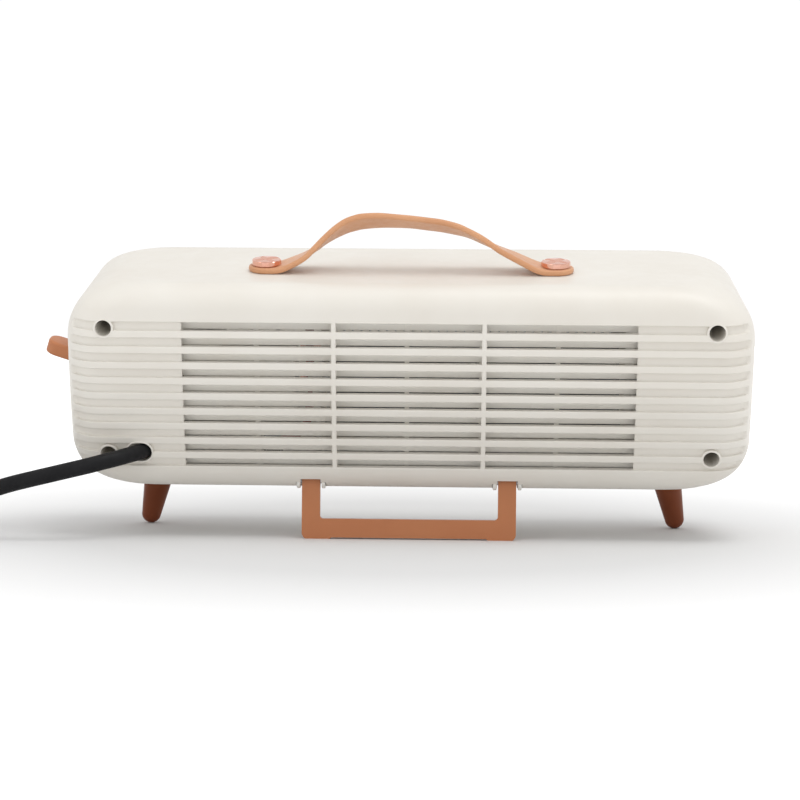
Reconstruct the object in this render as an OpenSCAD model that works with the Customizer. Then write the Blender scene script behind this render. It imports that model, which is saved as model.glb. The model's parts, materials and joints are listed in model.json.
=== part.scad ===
// Retro ceramic space heater on two peg legs and a fold-out stand.
// Body frame: X across, -Y towards the front grille, Z up from the flat bottom.
// stand_up() leans that frame back onto the floor, which is Z = 0.

/* [Body] */
// Width of the body across the side walls
body_w = 300; // [290:1:310]
// Depth of the body from rear crown to front face
body_d = 92.5; // [92:0.5:98]
// Height of the body without legs
body_h = 94; // [92:0.5:98]
// Corner radius of the body seen from the rear
corner_r = 24; // [22:0.5:30]
// Wall thickness of the moulded shells
wall = 3; // [2.8:0.1:3.2]
// Backward lean of the body on its legs, in degrees
lean = 15; // [13:0.5:16]

/* [Rear grille] */
// Number of grooved rows across the rear
row_count = 10; // [8:1:10]
// Distance from one row to the next
row_pitch = 6.86; // [6.4:0.02:7]
// Height of each groove and slot
row_h = 3.8; // [3.2:0.1:4]
// Width of the slotted middle of the rows
slot_span = 196.6; // [160:0.2:198]
// Depth of the grooves
groove_depth = 1.5; // [1:0.1:1.6]

/* [Handle] */
// Distance between the two strap screws
strap_screw_gap = 128; // [128:1:128]
// Width of the strap
strap_w = 16; // [14:1:18]
// Thickness of the strap
strap_t = 2.5; // [2:0.1:3]
// Depth of the strap's middle line behind the rear face
strap_depth = 36; // [34:1:44]

/* [Legs and stand] */
// Distance between the roots of the peg legs
leg_gap = 234; // [220:1:240]
// Depth of the peg legs behind the rear face
leg_depth = 60; // [56:1:62]
// Outward splay of the peg legs, in degrees
leg_splay = 12.5; // [8:0.5:14]
// Outer width of the U-shaped stand
stand_w = 95; // [90:1:98]
// Reach of the stand from its hinge axis to its foot
stand_reach = 26; // [25.6:0.1:27]

/* [Power cord] */
// Diameter of the power cord
cord_d = 7; // [6:0.5:7]

/* [Hidden] */
$fn = 64;

cream = "#ece8e0";
tan_leather = "#dea376";
terracotta = "#b57852";
dark_brown = "#7a4530";
rose_gold = "#e0a890";
steel = "#b8b8bc";
black_rubber = "#242426";
copper = "#b87333";
aluminium = "#c8cacc";
red_wire = "#b03028";
milky_nylon = "#e8e6e2";

// The profile seen from the side: a crowned rear face between two fillets
crown_r = 235;
mid_z = body_h / 2;
rear_top_r = 12;
rear_bottom_r = 16;
front_r = 14;
edge_r = 15;
seam_depth = 81;
top_centre_z = body_h - rear_top_r;
bottom_centre_z = rear_bottom_r;
function crown_depth(r, z) = crown_r - sqrt(pow(crown_r - r, 2) - pow(z - mid_z, 2));
top_centre_s = crown_depth(rear_top_r, top_centre_z);
bottom_centre_s = crown_depth(rear_bottom_r, bottom_centre_z);
far = 400;
eps = 0.01;

// Rows of the rear grille, the first at the top
first_row_z = 77;
function row_z(i) = first_row_z - i * row_pitch;
groove_margin = 4;
rib_bar_x = 32.5;
rib_bar_w = 2;

// The floor is under the stand's foot and the two leg tips
lift = 18.74;
centre_shift_x = -6.9;
centre_shift_y = 33.2;

// Screws that hold the front frame on the rear housing
case_screw_x = 132;
case_screw_z = [76, 19];
case_hole_r = 3.5;
case_boss_r = 5.6;
case_shank_r = 1.6;
case_seat_s = 58;

// Handle screws
strap_head_r = 6.45;
strap_head_t = 2.4;
strap_end = 8.1;
strap_screw_r = 2;
strap_hole_r = 2.1;

// Peg legs
leg_root_r = 8;
leg_tip_r = 4.5;
leg_len = (leg_depth * sin(lean) + lift - leg_tip_r) / (cos(lean) * cos(leg_splay));
stud_r = 2;

// Stand hinge
stand_axis_s = 10.2;
stand_axis_z = 4.4;
stand_t = 4;
stand_arm_w = 8;
stand_bar_h = 8.25;
stand_lean = 17;
stand_pad_w = 12;
stand_pad_drop = 0.95;
stand_pin_r = 1.2;
stand_eye_r = 3;
bush_r = 3.4;
bush_w = 1.7;
stand_gap = 0.5;

// Lever on the side wall
lever_s = 45;
lever_pivot_x = 138;
lever_pivot_z = 48.6;
lever_tilt = 18.5;
lever_len = 27;
lever_t = 7.6;
lever_w = 13;
lever_slot_h = 21;
lever_pin_r = 1.5;

// Fan, motor and heater
fan_s = 36;
fan_z = 45;
fan_r = 20;
fan_x0 = -92;
fan_x1 = 36;
shaft_r = 2;
blade_count = 24;
ptc_s = 66;
ptc_z = 45;
ptc_x0 = -92;
ptc_x1 = 36;

// Cord outlet and cord
outlet_x0 = 117.1;
outlet_x1 = 121;
outlet_r = 4.2;
outlet_z = 20;
relief_x = 114;
relief_s0 = 40;
relief_s1 = 16;
cord_r = cord_d / 2;

// Route of the cord on the floor frame before the middle shift
lead_route = [
    [114, -48.9, 52.6], [114, -36, 49.1], [114, -23.2, 45.7], [114, -16, 43.7],
    [114, -10.3, 42.2], [114.6, -4.8, 40.7], [116.4, 0.7, 39.3], [119.3, 5.6, 38.2],
    [123, 9.7, 37.2], [127.5, 12.9, 36], [132.3, 15.1, 34.8], [138, 16.3, 33.3],
    [145, 16.5, 31.6], [154, 16.5, 29.4], [163, 16.4, 27.2], [172, 16.2, 24.9],
    [181, 16, 22.1], [190, 16, 18.9], [199, 16, 15.4], [208, 16, 11.8],
    [217, 16, 8.2], [226, 16, 5.2], [235, 16, 3.8], [245, 16, 3.6]
];
coil_x = 246;
coil_y = -23.5;
coil_inner_r = 29;
coil_outer_r = 43;
coil_h = 21.2;
tail_route = [
    [285.5, -23.5, 17.6], [285.5, -31, 17.6], [285.2, -38.5, 17.1], [284.2, -46, 15.8],
    [282.4, -53.5, 13.8], [280, -60.5, 11.7], [277.3, -67.5, 10], [275, -74.5, 9.1],
    [273.7, -81.5, 9], [273.5, -88, 9]
];
plug_x = 273.5;
plug_y = -88;
plug_z = 9;

// ---- frames and shared shapes ----

// Puts the floor frame's origin under the middle of the object
module on_floor() {
    translate([centre_shift_x, centre_shift_y, 0]) children();
}

// Leans the body frame back until legs and stand reach the floor
module stand_up() {
    on_floor() translate([0, 0, lift]) rotate([-lean, 0, 0]) children();
}

// A point at x, at depth s behind the rear face, at height z
module at(x, s, z) {
    translate([x, -s, z]) children();
}

// Round bar along Y, from depth s0 to depth s1
module bar_y(x, z, s0, s1, r) {
    translate([x, -s0, z]) rotate([90, 0, 0]) cylinder(r = r, h = s1 - s0);
}

// Round bar along X
module bar_x(x0, x1, s, z, r) {
    translate([x0, -s, z]) rotate([0, 90, 0]) cylinder(r = r, h = x1 - x0);
}

// Block given by its ranges in x, depth and height
module block(x, s, z) {
    translate([x[0], -s[1], z[0]]) cube([x[1] - x[0], s[1] - s[0], z[1] - z[0]]);
}

// Rounded rectangle made of true arcs, centred on x
module round_rect(w, z0, z1, r) {
    translate([-w / 2 + r, z0]) square([w - 2 * r, z1 - z0]);
    translate([-w / 2, z0 + r]) square([w, z1 - z0 - 2 * r]);
    for (x = [-w / 2 + r, w / 2 - r], z = [z0 + r, z1 - r])
        translate([x, z]) circle(r = r);
}

// Points on an arc about a centre, from angle a0 to a1, in the given number of steps
function arc(centre, r, a0, a1, steps) = [
    for (k = [0:steps]) let (a = a0 + (a1 - a0) * k / steps) centre + r * [cos(a), sin(a)]
];

// Side profile, drawn in minus depth and height: crown, top fillets, bottom fillets
module side_profile(inset) {
    top = [-top_centre_s, top_centre_z];
    low = [-bottom_centre_s, bottom_centre_z];
    hub = [-crown_r, mid_z];
    front_c = -(body_d - front_r);
    top_a = asin((top[1] - hub[1]) / norm(top - hub));
    low_a = asin((low[1] - hub[1]) / norm(low - hub));
    polygon(concat(
        arc(hub, crown_r - inset, low_a, top_a, 12),
        arc(top, rear_top_r - inset, top_a, 90, 7),
        arc([front_c, body_h - front_r], front_r - inset, 90, 180, 8),
        arc([front_c, front_r], front_r - inset, 180, 270, 8),
        arc(low, rear_bottom_r - inset, 270, 360 + low_a, 9)
    ));
}

// Body outline seen from above, drawn in x and minus depth
module plan_profile(inset) {
    w = body_w - 2 * inset;
    translate([-w / 2, -body_d + front_r]) square([w, body_d - front_r - edge_r]);
    translate([-body_w / 2 + front_r, -body_d + inset])
        square([body_w - 2 * front_r, body_d - 2 * inset]);
    for (x = [-1, 1]) {
        translate([x * (body_w / 2 - edge_r), -edge_r]) circle(r = edge_r - inset);
        translate([x * (body_w / 2 - front_r), -body_d + front_r]) circle(r = front_r - inset);
    }
    translate([-body_w / 2 + edge_r, -edge_r]) square([body_w - 2 * edge_r, edge_r - inset]);
}

// The rounded body, moved in by the inset on all sides
module body_form(inset) {
    intersection() {
        rotate([90, 0, 90]) translate([0, 0, -body_w / 2 - 10]) linear_extrude(body_w + 20)
            side_profile(inset);
        translate([0, 1, 0]) rotate([90, 0, 0]) linear_extrude(body_d + 2)
            round_rect(body_w - 2 * inset, inset, body_h - inset, corner_r - inset);
        translate([0, 0, -1]) linear_extrude(body_h + 2) plan_profile(inset);
    }
}

// Everything in the body frame behind or in front of the seam
module behind_seam() {
    block([-far, far], [-far, seam_depth], [-far, far]);
}
module before_seam() {
    block([-far, far], [seam_depth, far], [-far, far]);
}

// Places children at the four case screws
module at_case_screws() {
    for (x = [-case_screw_x, case_screw_x], z = case_screw_z)
        translate([x, 0, z]) children();
}

// ---- housing ----

module grooves() {
    difference() {
        intersection() {
            translate([0, 1, 0]) rotate([90, 0, 0]) linear_extrude(edge_r + 2)
                round_rect(body_w - 2 * groove_margin, groove_margin, body_h - groove_margin,
                    corner_r - groove_margin);
            for (i = [0:row_count - 1])
                block([-far, far], [-1, edge_r + 1], [row_z(i) - row_h / 2, row_z(i) + row_h / 2]);
        }
        body_form(groove_depth);
    }
}

module slots() {
    half = slot_span / 2;
    bay = [[-half, -rib_bar_x - rib_bar_w / 2], [-rib_bar_x + rib_bar_w / 2, rib_bar_x - rib_bar_w / 2],
        [rib_bar_x + rib_bar_w / 2, half]];
    for (i = [0:row_count - 1], b = bay)
        block(b, [-1, 7], [row_z(i) - row_h / 2, row_z(i) + row_h / 2]);
}

module outlet_outline(r) {
    translate([outlet_x0, outlet_z]) circle(r = r);
    translate([outlet_x1, outlet_z]) circle(r = r);
    translate([outlet_x0, outlet_z - r]) square([outlet_x1 - outlet_x0, 2 * r]);
}

// Pocket for one arm of the stand, with room to swing it forward
module stand_arm_pocket(x) {
    side = stand_arm_w / 2 + stand_gap;
    block([x - side, x + side], [-1, stand_axis_s + stand_reach + 1.5], [-1, 6.9]);
}

module stand_recess() {
    outer = stand_w / 2 + stand_gap;
    bar_s1 = stand_axis_s + stand_reach + 1.5;
    for (x = [-1, 1]) {
        stand_arm_pocket(x * (stand_w - stand_arm_w) / 2);
        bar_x(x * (stand_w - stand_arm_w) / 2 - stand_arm_w / 2 - bush_w - 2 * stand_gap,
            x * (stand_w - stand_arm_w) / 2 + stand_arm_w / 2 + bush_w + 2 * stand_gap,
            stand_axis_s, stand_axis_z, bush_r + 0.1);
    }
    block([-outer, outer], [bar_s1 - stand_bar_h - stand_pad_drop - 3, bar_s1], [-1, 6.9]);
}

// Wall round the stand recess, inside the housing
module stand_recess_wall() {
    outer = stand_w / 2 + stand_gap + 2;
    bar_s1 = stand_axis_s + stand_reach + 3.5;
    for (x = [-1, 1])
        block([x * (stand_w - stand_arm_w) / 2 - stand_arm_w / 2 - 4,
            x * (stand_w - stand_arm_w) / 2 + stand_arm_w / 2 + 4], [1, bar_s1], [0.5, 9.4]);
    block([-outer, outer], [bar_s1 - stand_bar_h - stand_pad_drop - 7, bar_s1], [0.5, 9.4]);
}

module rear_housing() {
    stand_up() color(cream) difference() {
        union() {
            difference() {
                intersection() {
                    body_form(0);
                    behind_seam();
                }
                body_form(wall);
                grooves();
            }
            intersection() {
                body_form(0.2);
                union() {
                    at_case_screws() bar_y(0, 0, 1, case_seat_s + 3, case_boss_r);
                    stand_recess_wall();
                }
            }
        }
        slots();
        at_case_screws() {
            bar_y(0, 0, -5, case_seat_s, case_hole_r);
            bar_y(0, 0, -5, seam_depth, case_shank_r + 0.2);
        }
        translate([0, 1, 0]) rotate([90, 0, 0]) linear_extrude(8) outlet_outline(outlet_r);
        stand_recess();
        block([body_w / 2 - 6, body_w / 2 + 5], [lever_s - 7.5, lever_s + 7.5],
            [lever_pivot_z - lever_slot_h / 2, lever_pivot_z + lever_slot_h / 2]);
        for (x = [-1, 1]) {
            translate([x * strap_screw_gap / 2, -strap_depth, body_h - wall - 1])
                cylinder(r = strap_hole_r, h = wall + 2);
            translate([x * leg_gap / 2, -leg_depth, 0]) rotate([0, -x * leg_splay, 0])
                translate([0, 0, -5]) cylinder(r = stud_r + 0.2, h = 12);
        }
    }
}

module front_frame() {
    lip = 6;
    stand_up() color(cream) difference() {
        union() {
            difference() {
                intersection() {
                    body_form(0);
                    before_seam();
                }
                body_form(wall);
            }
            intersection() {
                body_form(wall);
                at_case_screws() bar_y(0, 0, seam_depth - 12, body_d, case_boss_r - 1);
            }
        }
        rotate([90, 0, 0]) linear_extrude(body_d + 5)
            round_rect(body_w - 44, 14, body_h - 14, lip * 2);
        at_case_screws() bar_y(0, 0, seam_depth - 13, seam_depth + 6, case_shank_r);
    }
}

module front_grille() {
    w = body_w - 44.6;
    z0 = 14.3;
    fin_count = 9;
    fin_gap = (body_h - 2 * z0 - 4) / fin_count;
    stand_up() color(cream) {
        difference() {
            translate([0, -body_d + 8, 0]) rotate([90, 0, 0]) linear_extrude(6.5)
                round_rect(w, z0, body_h - z0, 11.7);
            translate([0, -body_d + 9, 0]) rotate([90, 0, 0]) linear_extrude(8.5)
                round_rect(w - 5, z0 + 2.5, body_h - z0 - 2.5, 9.2);
        }
        for (i = [1:fin_count - 1])
            block([-w / 2 + 2, w / 2 - 2], [body_d - 7, body_d - 2],
                [z0 + 1 + i * fin_gap, z0 + 3 + i * fin_gap]);
        for (x = [-64, 0, 64])
            block([x - 1, x + 1], [body_d - 7.5, body_d - 4], [z0 + 2, body_h - z0 - 2]);
    }
}

// Inner fins that shade the slots from behind, tied together and footed on the wall
louvre_gap = 5.9;
louvre_t = 1.8;
louvre_drop = 2.35;
louvre_rise = 1.2;
louvre_tie_s = [7.5, 9.8];
louvre_tie_w = 2;
louvre_foot_s = 5.7;

module rear_inner_louvre() {
    half = slot_span / 2 + 3;
    low = row_z(row_count - 1) - louvre_drop;
    high = row_z(0) + louvre_rise;
    foot_h = louvre_drop + louvre_rise;
    stand_up() color(cream) {
        for (i = [0:row_count - 1]) {
            s0 = crown_depth(0, row_z(i)) + louvre_gap;
            block([-half, half], [s0, s0 + louvre_t], [row_z(i) - louvre_drop, row_z(i) + louvre_rise]);
        }
        for (x = [-half, -65.5, -rib_bar_x, 0, rib_bar_x, 65.5, half - louvre_tie_w])
            block([x, x + louvre_tie_w], louvre_tie_s, [low, high]);
        for (x = [-half, half - louvre_tie_w], z = [low, high - foot_h])
            block([x, x + louvre_tie_w], [louvre_foot_s, louvre_tie_s[1]], [z, z + foot_h]);
    }
}

module case_screws() {
    stand_up() color(steel) at_case_screws() {
        bar_y(0, 0, case_seat_s - 2.4, case_seat_s, 3);
        bar_y(0, 0, case_seat_s - eps, seam_depth + 4, case_shank_r - 0.05);
    }
}

// ---- handle ----

// Points on the strap's middle line: x, height over the body's top, twist in degrees
strap_line = [
    [-72.1, 1.31, 0], [-59, 1.31, 0], [-58, 1.31, 0], [-55.9, 2, 1], [-52.4, 3.6, 3],
    [-48.9, 5.4, 5], [-45.4, 7.1, 6.5], [-41.9, 8.7, 9], [-38.4, 10.4, 13], [-35, 12.4, 16.5],
    [-31.3, 14.5, 18.6], [-27.8, 16.3, 19.8], [-24.3, 17.8, 21.3], [-20.8, 19, 23.5],
    [-13.8, 20.6, 25.5], [-6.8, 21.5, 25.8], [0.2, 22.3, 25.8], [7.2, 22.7, 27.3],
    [14.2, 22.9, 29.6], [21.3, 22.4, 30.8], [24.8, 21.6, 30.6], [28.3, 20.4, 29.3],
    [31.8, 18.5, 26.4], [35.3, 16.1, 21.6], [38.8, 13.3, 17.2], [42.3, 10.1, 14],
    [45.8, 7.2, 9.5], [49.3, 5.1, 5.5], [52.8, 3.3, 2.5], [56.3, 1.8, 0.5], [58, 1.31, 0],
    [59, 1.31, 0], [72.1, 1.31, 0]
];
strap_steps = 2;
function spline(a, b, c, d, t) = 0.5 * (2 * b + (c - a) * t + (2 * a - 5 * b + 4 * c - d) * t * t
    + (3 * b - a - 3 * c + d) * t * t * t);
function smooth_path(p, steps) = [
    for (i = [0:len(p) - 2], k = [0:steps - 1])
        spline(p[max(i - 1, 0)], p[i], p[i + 1], p[min(i + 2, len(p) - 1)], k / steps),
    p[len(p) - 1]
];

// Tube of four or more sides through rings of points
module skin(rings) {
    n = len(rings[0]);
    last = len(rings) - 1;
    polyhedron(
        points = [for (ring = rings, point = ring) point],
        faces = concat(
            [[for (k = [0:n - 1]) k]],
            [[for (k = [0:n - 1]) last * n + n - 1 - k]],
            [for (i = [0:last - 1], k = [0:n - 1])
                [i * n + k, (i + 1) * n + k, (i + 1) * n + (k + 1) % n]],
            [for (i = [0:last - 1], k = [0:n - 1])
                [i * n + k, (i + 1) * n + (k + 1) % n, i * n + (k + 1) % n]]
        )
    );
}

function strap_half(x) = let (over = abs(x) - strap_screw_gap / 2)
    over <= 0 ? strap_w / 2 : max(0.6, sqrt(max(0, pow(strap_w / 2, 2) - pow(over, 2))));

function strap_ring(path, i) = let (
    p = path[i],
    step = path[min(i + 1, len(path) - 1)] - path[max(i - 1, 0)],
    slope = atan2(step[1], step[0]),
    tilt = p[2],
    half = strap_half(p[0]),
    across = [0, cos(tilt), sin(tilt)],
    out = [-sin(slope), -sin(tilt) * cos(slope), cos(tilt) * cos(slope)],
    mid = [p[0], -strap_depth, body_h + p[1]]
) [for (c = [[-1, -1], [-1, 1], [1, 1], [1, -1]])
    mid + across * c[0] * half + out * c[1] * strap_t / 2];

module handle_strap() {
    path = smooth_path(strap_line, strap_steps);
    stand_up() color(tan_leather) difference() {
        skin([for (i = [0:len(path) - 1]) strap_ring(path, i)]);
        for (x = [-1, 1])
            translate([x * strap_screw_gap / 2, -strap_depth, body_h - 1])
                cylinder(r = strap_hole_r, h = strap_t + 2);
    }
}

module handle_screws() {
    stand_up() color(rose_gold) for (x = [-1, 1])
        translate([x * strap_screw_gap / 2, -strap_depth, body_h + strap_t + 0.1]) {
            cylinder(r = strap_head_r, h = strap_head_t - 0.8);
            translate([0, 0, strap_head_t - 0.8])
                cylinder(r1 = strap_head_r, r2 = strap_head_r - 1.4, h = 0.8);
            translate([0, 0, -strap_t - wall - 6]) cylinder(r = strap_screw_r, h = strap_t + wall + 6);
        }
}

module handle_nuts() {
    stand_up() color(steel) for (x = [-1, 1])
        translate([x * strap_screw_gap / 2, -strap_depth, body_h - wall - 3.6]) difference() {
            union() {
                cylinder(r = 3.9, h = 2.8, $fn = 6);
                translate([0, 0, 2.8]) cylinder(r = 5, h = 0.7);
            }
            translate([0, 0, -1]) cylinder(r = strap_screw_r + 0.05, h = 6);
        }
}

// ---- legs ----

// Leg frame: the origin is on the bottom face, +Z goes up along the leg
module at_leg(side) {
    translate([side * leg_gap / 2, -leg_depth, 0]) rotate([0, -side * leg_splay, 0]) children();
}

module peg_leg(side) {
    stand_up() color(dark_brown) difference() {
        at_leg(side) {
            translate([0, 0, -leg_len]) cylinder(r1 = leg_tip_r, r2 = leg_root_r + 0.45, h = leg_len + 4);
            translate([0, 0, -leg_len]) sphere(r = leg_tip_r);
        }
        block([-far, far], [-far, far], [-0.02, far]);
        at_leg(side) translate([0, 0, -15]) cylinder(r = stud_r + 0.05, h = 30);
    }
}

module peg_leg_left() {
    peg_leg(-1);
}

module peg_leg_right() {
    peg_leg(1);
}

module leg_studs() {
    stand_up() color(steel) for (side = [-1, 1])
        at_leg(side) translate([0, 0, -14.5]) cylinder(r = stud_r, h = 26);
}

module leg_nuts() {
    stand_up() color(steel) for (side = [-1, 1])
        at_leg(side) translate([0, 0, 4.4]) difference() {
            union() {
                translate([0, 0, 0.7]) cylinder(r = 4, h = 3, $fn = 6);
                cylinder(r = 5, h = 0.8);
            }
            translate([0, 0, -1]) cylinder(r = stud_r + 0.05, h = 8);
        }
}

// ---- fold-out stand ----

module stand_outline() {
    half = stand_w / 2;
    r = 3;
    drop = stand_reach - stand_pad_drop;
    difference() {
        union() {
            translate([-half, -drop + r]) square([stand_w, drop - r]);
            translate([-half + r, -drop]) square([stand_w - 2 * r, r]);
            for (x = [-1, 1]) {
                translate([x * (half - r), -stand_reach + r]) circle(r = r);
                polygon([[x * (half - r), -stand_reach], [x * (half - stand_pad_w), -stand_reach],
                    [x * (half - stand_pad_w - 1.2), -drop], [x * (half - r), -drop]]);
                translate([x * (half - r / 2) - r / 2, -stand_reach + r]) square([r, 1]);
            }
        }
        for (x = [-1, 1])
            translate([x * (half - stand_arm_w) - (x > 0 ? 1.5 : 0), -drop + stand_bar_h])
                square([1.5, 1.5]);
        translate([-half + stand_arm_w, -drop + stand_bar_h + 1.5])
            square([stand_w - 2 * stand_arm_w, far]);
        translate([-half + stand_arm_w + 1.5, -drop + stand_bar_h])
            square([stand_w - 2 * stand_arm_w - 3, far]);
    }
    for (x = [-1, 1])
        intersection() {
            translate([x * (half - stand_arm_w - 1.5), -drop + stand_bar_h + 1.5]) difference() {
                square([3, 3], center = true);
                circle(r = 1.5);
            }
            translate([x * (half - stand_arm_w) - (x > 0 ? 1.5 : 0), -drop + stand_bar_h])
                square([1.5, 1.5]);
        }
}

// Stand frame: the origin is on the hinge axis, the plate hangs down from it
module at_hinge() {
    at(0, stand_axis_s, stand_axis_z) rotate([stand_lean, 0, 0]) children();
}

module stand() {
    color(terracotta) difference() {
        stand_up() at_hinge() difference() {
            union() {
                translate([0, stand_t / 2, 0]) rotate([90, 0, 0]) linear_extrude(stand_t)
                    stand_outline();
                for (x = [-1, 1])
                    translate([x * (stand_w / 2 - stand_arm_w / 2), 0, 0]) rotate([0, 90, 0])
                        cylinder(r = stand_t / 2, h = stand_arm_w, center = true);
            }
            rotate([0, 90, 0]) cylinder(r = stand_pin_r + 0.05, h = stand_w + 10, center = true);
        }
        translate([-far / 2, -far / 2, -far]) cube(far);
    }
}

module stand_hinge_pins() {
    reach = stand_arm_w / 2 + bush_w + 2 * stand_gap;
    stand_up() color(steel) for (x = [-1, 1])
        bar_x(x * (stand_w - stand_arm_w) / 2 - reach, x * (stand_w - stand_arm_w) / 2 + reach,
            stand_axis_s, stand_axis_z, stand_pin_r);
}

module stand_hinge_bushes() {
    stand_up() color(milky_nylon) for (x = [-1, 1], side = [-1, 1]) {
        mid = x * (stand_w - stand_arm_w) / 2 + side * (stand_arm_w / 2 + stand_gap + bush_w / 2 + 0.2);
        difference() {
            bar_x(mid - bush_w / 2, mid + bush_w / 2, stand_axis_s, stand_axis_z, bush_r);
            bar_x(mid - 2, mid + 2, stand_axis_s, stand_axis_z, stand_pin_r + 0.02);
        }
    }
}

// ---- lever and switch ----

module at_lever() {
    at(lever_pivot_x, lever_s, lever_pivot_z) rotate([0, -lever_tilt, 0]) children();
}

module mode_lever() {
    tip = lever_len - lever_t / 2;
    stand_up() color(terracotta) at_lever() difference() {
        union() {
            translate([0, lever_w / 2, 0]) rotate([90, 0, 0]) linear_extrude(lever_w) {
                circle(r = lever_t / 2 + 0.6);
                translate([0, -lever_t / 2]) square([tip, lever_t]);
                translate([tip, 0]) circle(r = lever_t / 2);
            }
        }
        rotate([90, 0, 0]) cylinder(r = lever_pin_r + 0.05, h = lever_w + 10, center = true);
    }
}

module lever_pivot_pin() {
    stand_up() color(steel)
        bar_y(lever_pivot_x, lever_pivot_z, lever_s - lever_w / 2 - 3.4,
            lever_s + lever_w / 2 + 3.4, lever_pin_r);
}

module lever_bracket() {
    x0 = 124;
    inner = lever_w / 2 + 0.6;
    outer = lever_w / 2 + 3;
    stand_up() color(cream) difference() {
        union() {
            block([x0, x0 + 2.5], [lever_s - outer, lever_s + outer], [lever_pivot_z - 10, lever_pivot_z + 10]);
            for (side = [-1, 1])
                block([x0, lever_pivot_x + 4], [lever_s + (side < 0 ? -outer : inner),
                    lever_s + (side < 0 ? -inner : outer)], [lever_pivot_z - 5, lever_pivot_z + 5]);
        }
        bar_y(lever_pivot_x, lever_pivot_z, lever_s - outer - 1, lever_s + outer + 1, lever_pin_r + 0.02);
    }
}

module selector_switch() {
    stand_up() color("#303236") {
        block([109, 123.9], [lever_s - 10, lever_s + 10], [lever_pivot_z - 9, lever_pivot_z + 9]);
        for (z = [-5, 0, 5])
            block([102, 109.1], [lever_s - 1.2, lever_s + 1.2], [lever_pivot_z + z - 1.5, lever_pivot_z + z + 1.5]);
    }
}

// ---- electrics ----

module control_box() {
    stand_up() color(cream) difference() {
        union() {
            block([50, 99], [10, 32], [33, 66]);
            block([82, 99], [10, 32], [62, 73]);
        }
        block([52, 97], [12, 33], [35, 64]);
        block([84, 97], [12, 33], [60, 71]);
    }
}

module control_board() {
    stand_up() {
        color("#3d7a4a") block([53, 96], [30, 31.6], [36, 63]);
        color("#303236") block([56, 70], [20, 30.1], [40, 55]);
        color("#303236") bar_y(80, 48, 16, 30.1, 5);
        color(aluminium) block([88, 94], [18, 30.1], [38, 58]);
    }
}

module terminal_block() {
    stand_up() color(milky_nylon) difference() {
        block([66, 98], [15, 26], [5, 24]);
        for (x = [71, 82, 93])
            translate([x, -20, 17]) cylinder(r = 2, h = 10);
    }
}

// Route of the loom from the terminals up to the heater and the motor, x depth height
loom_route = [
    [62, 20, 19], [54, 30, 18], [48, 44, 20], [47, 54, 30], [47, 57, 45], [47, 57, 62],
    [44, 58, 76], [36, 59, 82], [20, 60, 84], [0, 60, 84], [-30, 60, 84], [-60, 60, 84],
    [-90, 58, 83], [-104, 52, 78]
];

function ring_round(path, i, r, n) = let (
    step = path[min(i + 1, len(path) - 1)] - path[max(i - 1, 0)],
    along = step / norm(step),
    side = let (c = cross(along, [0, 0, 1])) norm(c) > 0.2 ? c / norm(c) : [1, 0, 0],
    up = cross(side, along)
) [for (k = [0:n - 1]) path[i] + (side * cos(360 * k / n) + up * sin(360 * k / n)) * r];

module tube(path, r, n) {
    skin([for (i = [0:len(path) - 1]) ring_round(path, i, r, n)]);
}

module wiring_loom() {
    stand_up() color(red_wire)
        tube(smooth_path([for (p = loom_route) [p[0], -p[1], p[2]]], 2), 2, 8);
}

module tip_over_switch() {
    stand_up() color("#303236") {
        block([60, 76], [40, 56], [3.1, 15]);
        bar_y(68, 9, 36, 40.1, 2);
    }
}

// ---- fan ----

module fan_rotor() {
    ring_t = 1.5;
    blade_t = 0.9;
    stand_up() color("#6a6e72") at(0, fan_s, fan_z) {
        for (x = [fan_x0, (fan_x0 + fan_x1) / 2, fan_x1 - ring_t])
            translate([x, 0, 0]) rotate([0, 90, 0]) difference() {
                cylinder(r = fan_r, h = ring_t);
                translate([0, 0, -1]) cylinder(r = shaft_r + 0.02, h = ring_t + 2);
            }
        for (i = [0:blade_count - 1])
            rotate([i * 360 / blade_count, 0, 0])
                translate([fan_x0 + ring_t / 2, -blade_t / 2, fan_r - 6])
                    cube([fan_x1 - fan_x0 - ring_t, blade_t, 5.6]);
    }
}

module fan_shaft() {
    stand_up() color(steel) bar_x(-134, 46, fan_s, fan_z, shaft_r);
}

module motor_rotor() {
    stand_up() color(aluminium) difference() {
        bar_x(-124, -108, fan_s, fan_z, 10);
        bar_x(-125, -107, fan_s, fan_z, shaft_r + 0.02);
    }
}

module motor_stator() {
    stand_up() {
        color(steel) difference() {
            block([-123, -109], [fan_s - 20, fan_s + 20], [fan_z - 20, fan_z + 28]);
            bar_x(-124, -108, fan_s, fan_z, 10.5);
            block([-124, -108], [fan_s - 11, fan_s + 11], [fan_z + 14, fan_z + 21]);
        }
        color(copper) difference() {
            block([-126, -106], [fan_s - 10.9, fan_s + 10.9], [fan_z + 14.1, fan_z + 34]);
            block([-123.1, -108.9], [fan_s - 12, fan_s + 12], [fan_z + 20.9, fan_z + 28.1]);
        }
    }
}

module motor_bracket() {
    stand_up() color(milky_nylon) difference() {
        union() {
            for (x = [-131, -104])
                block([x, x + 2], [fan_s - 22, fan_s + 22], [fan_z - 18, fan_z + 13]);
            block([-131, -102], [fan_s - 22, fan_s + 22], [fan_z - 20.2, fan_z - 18]);
            block([-122, -106], [fan_s - 14, fan_s + 14], [wall + 0.1, fan_z - 20]);
        }
        bar_x(-132, -101, fan_s, fan_z, shaft_r + 0.05);
        block([-123.2, -108.8], [fan_s - 20.1, fan_s + 20.1], [fan_z - 20.1, fan_z + 20]);
    }
}

module fan_bearing() {
    stand_up() color(milky_nylon) difference() {
        union() {
            bar_x(40, 46, fan_s, fan_z, 5);
            block([40, 42], [fan_s - 14, fan_s + 14], [9.5, fan_z + 6]);
        }
        bar_x(39, 47, fan_s, fan_z, shaft_r + 0.05);
    }
}

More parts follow.
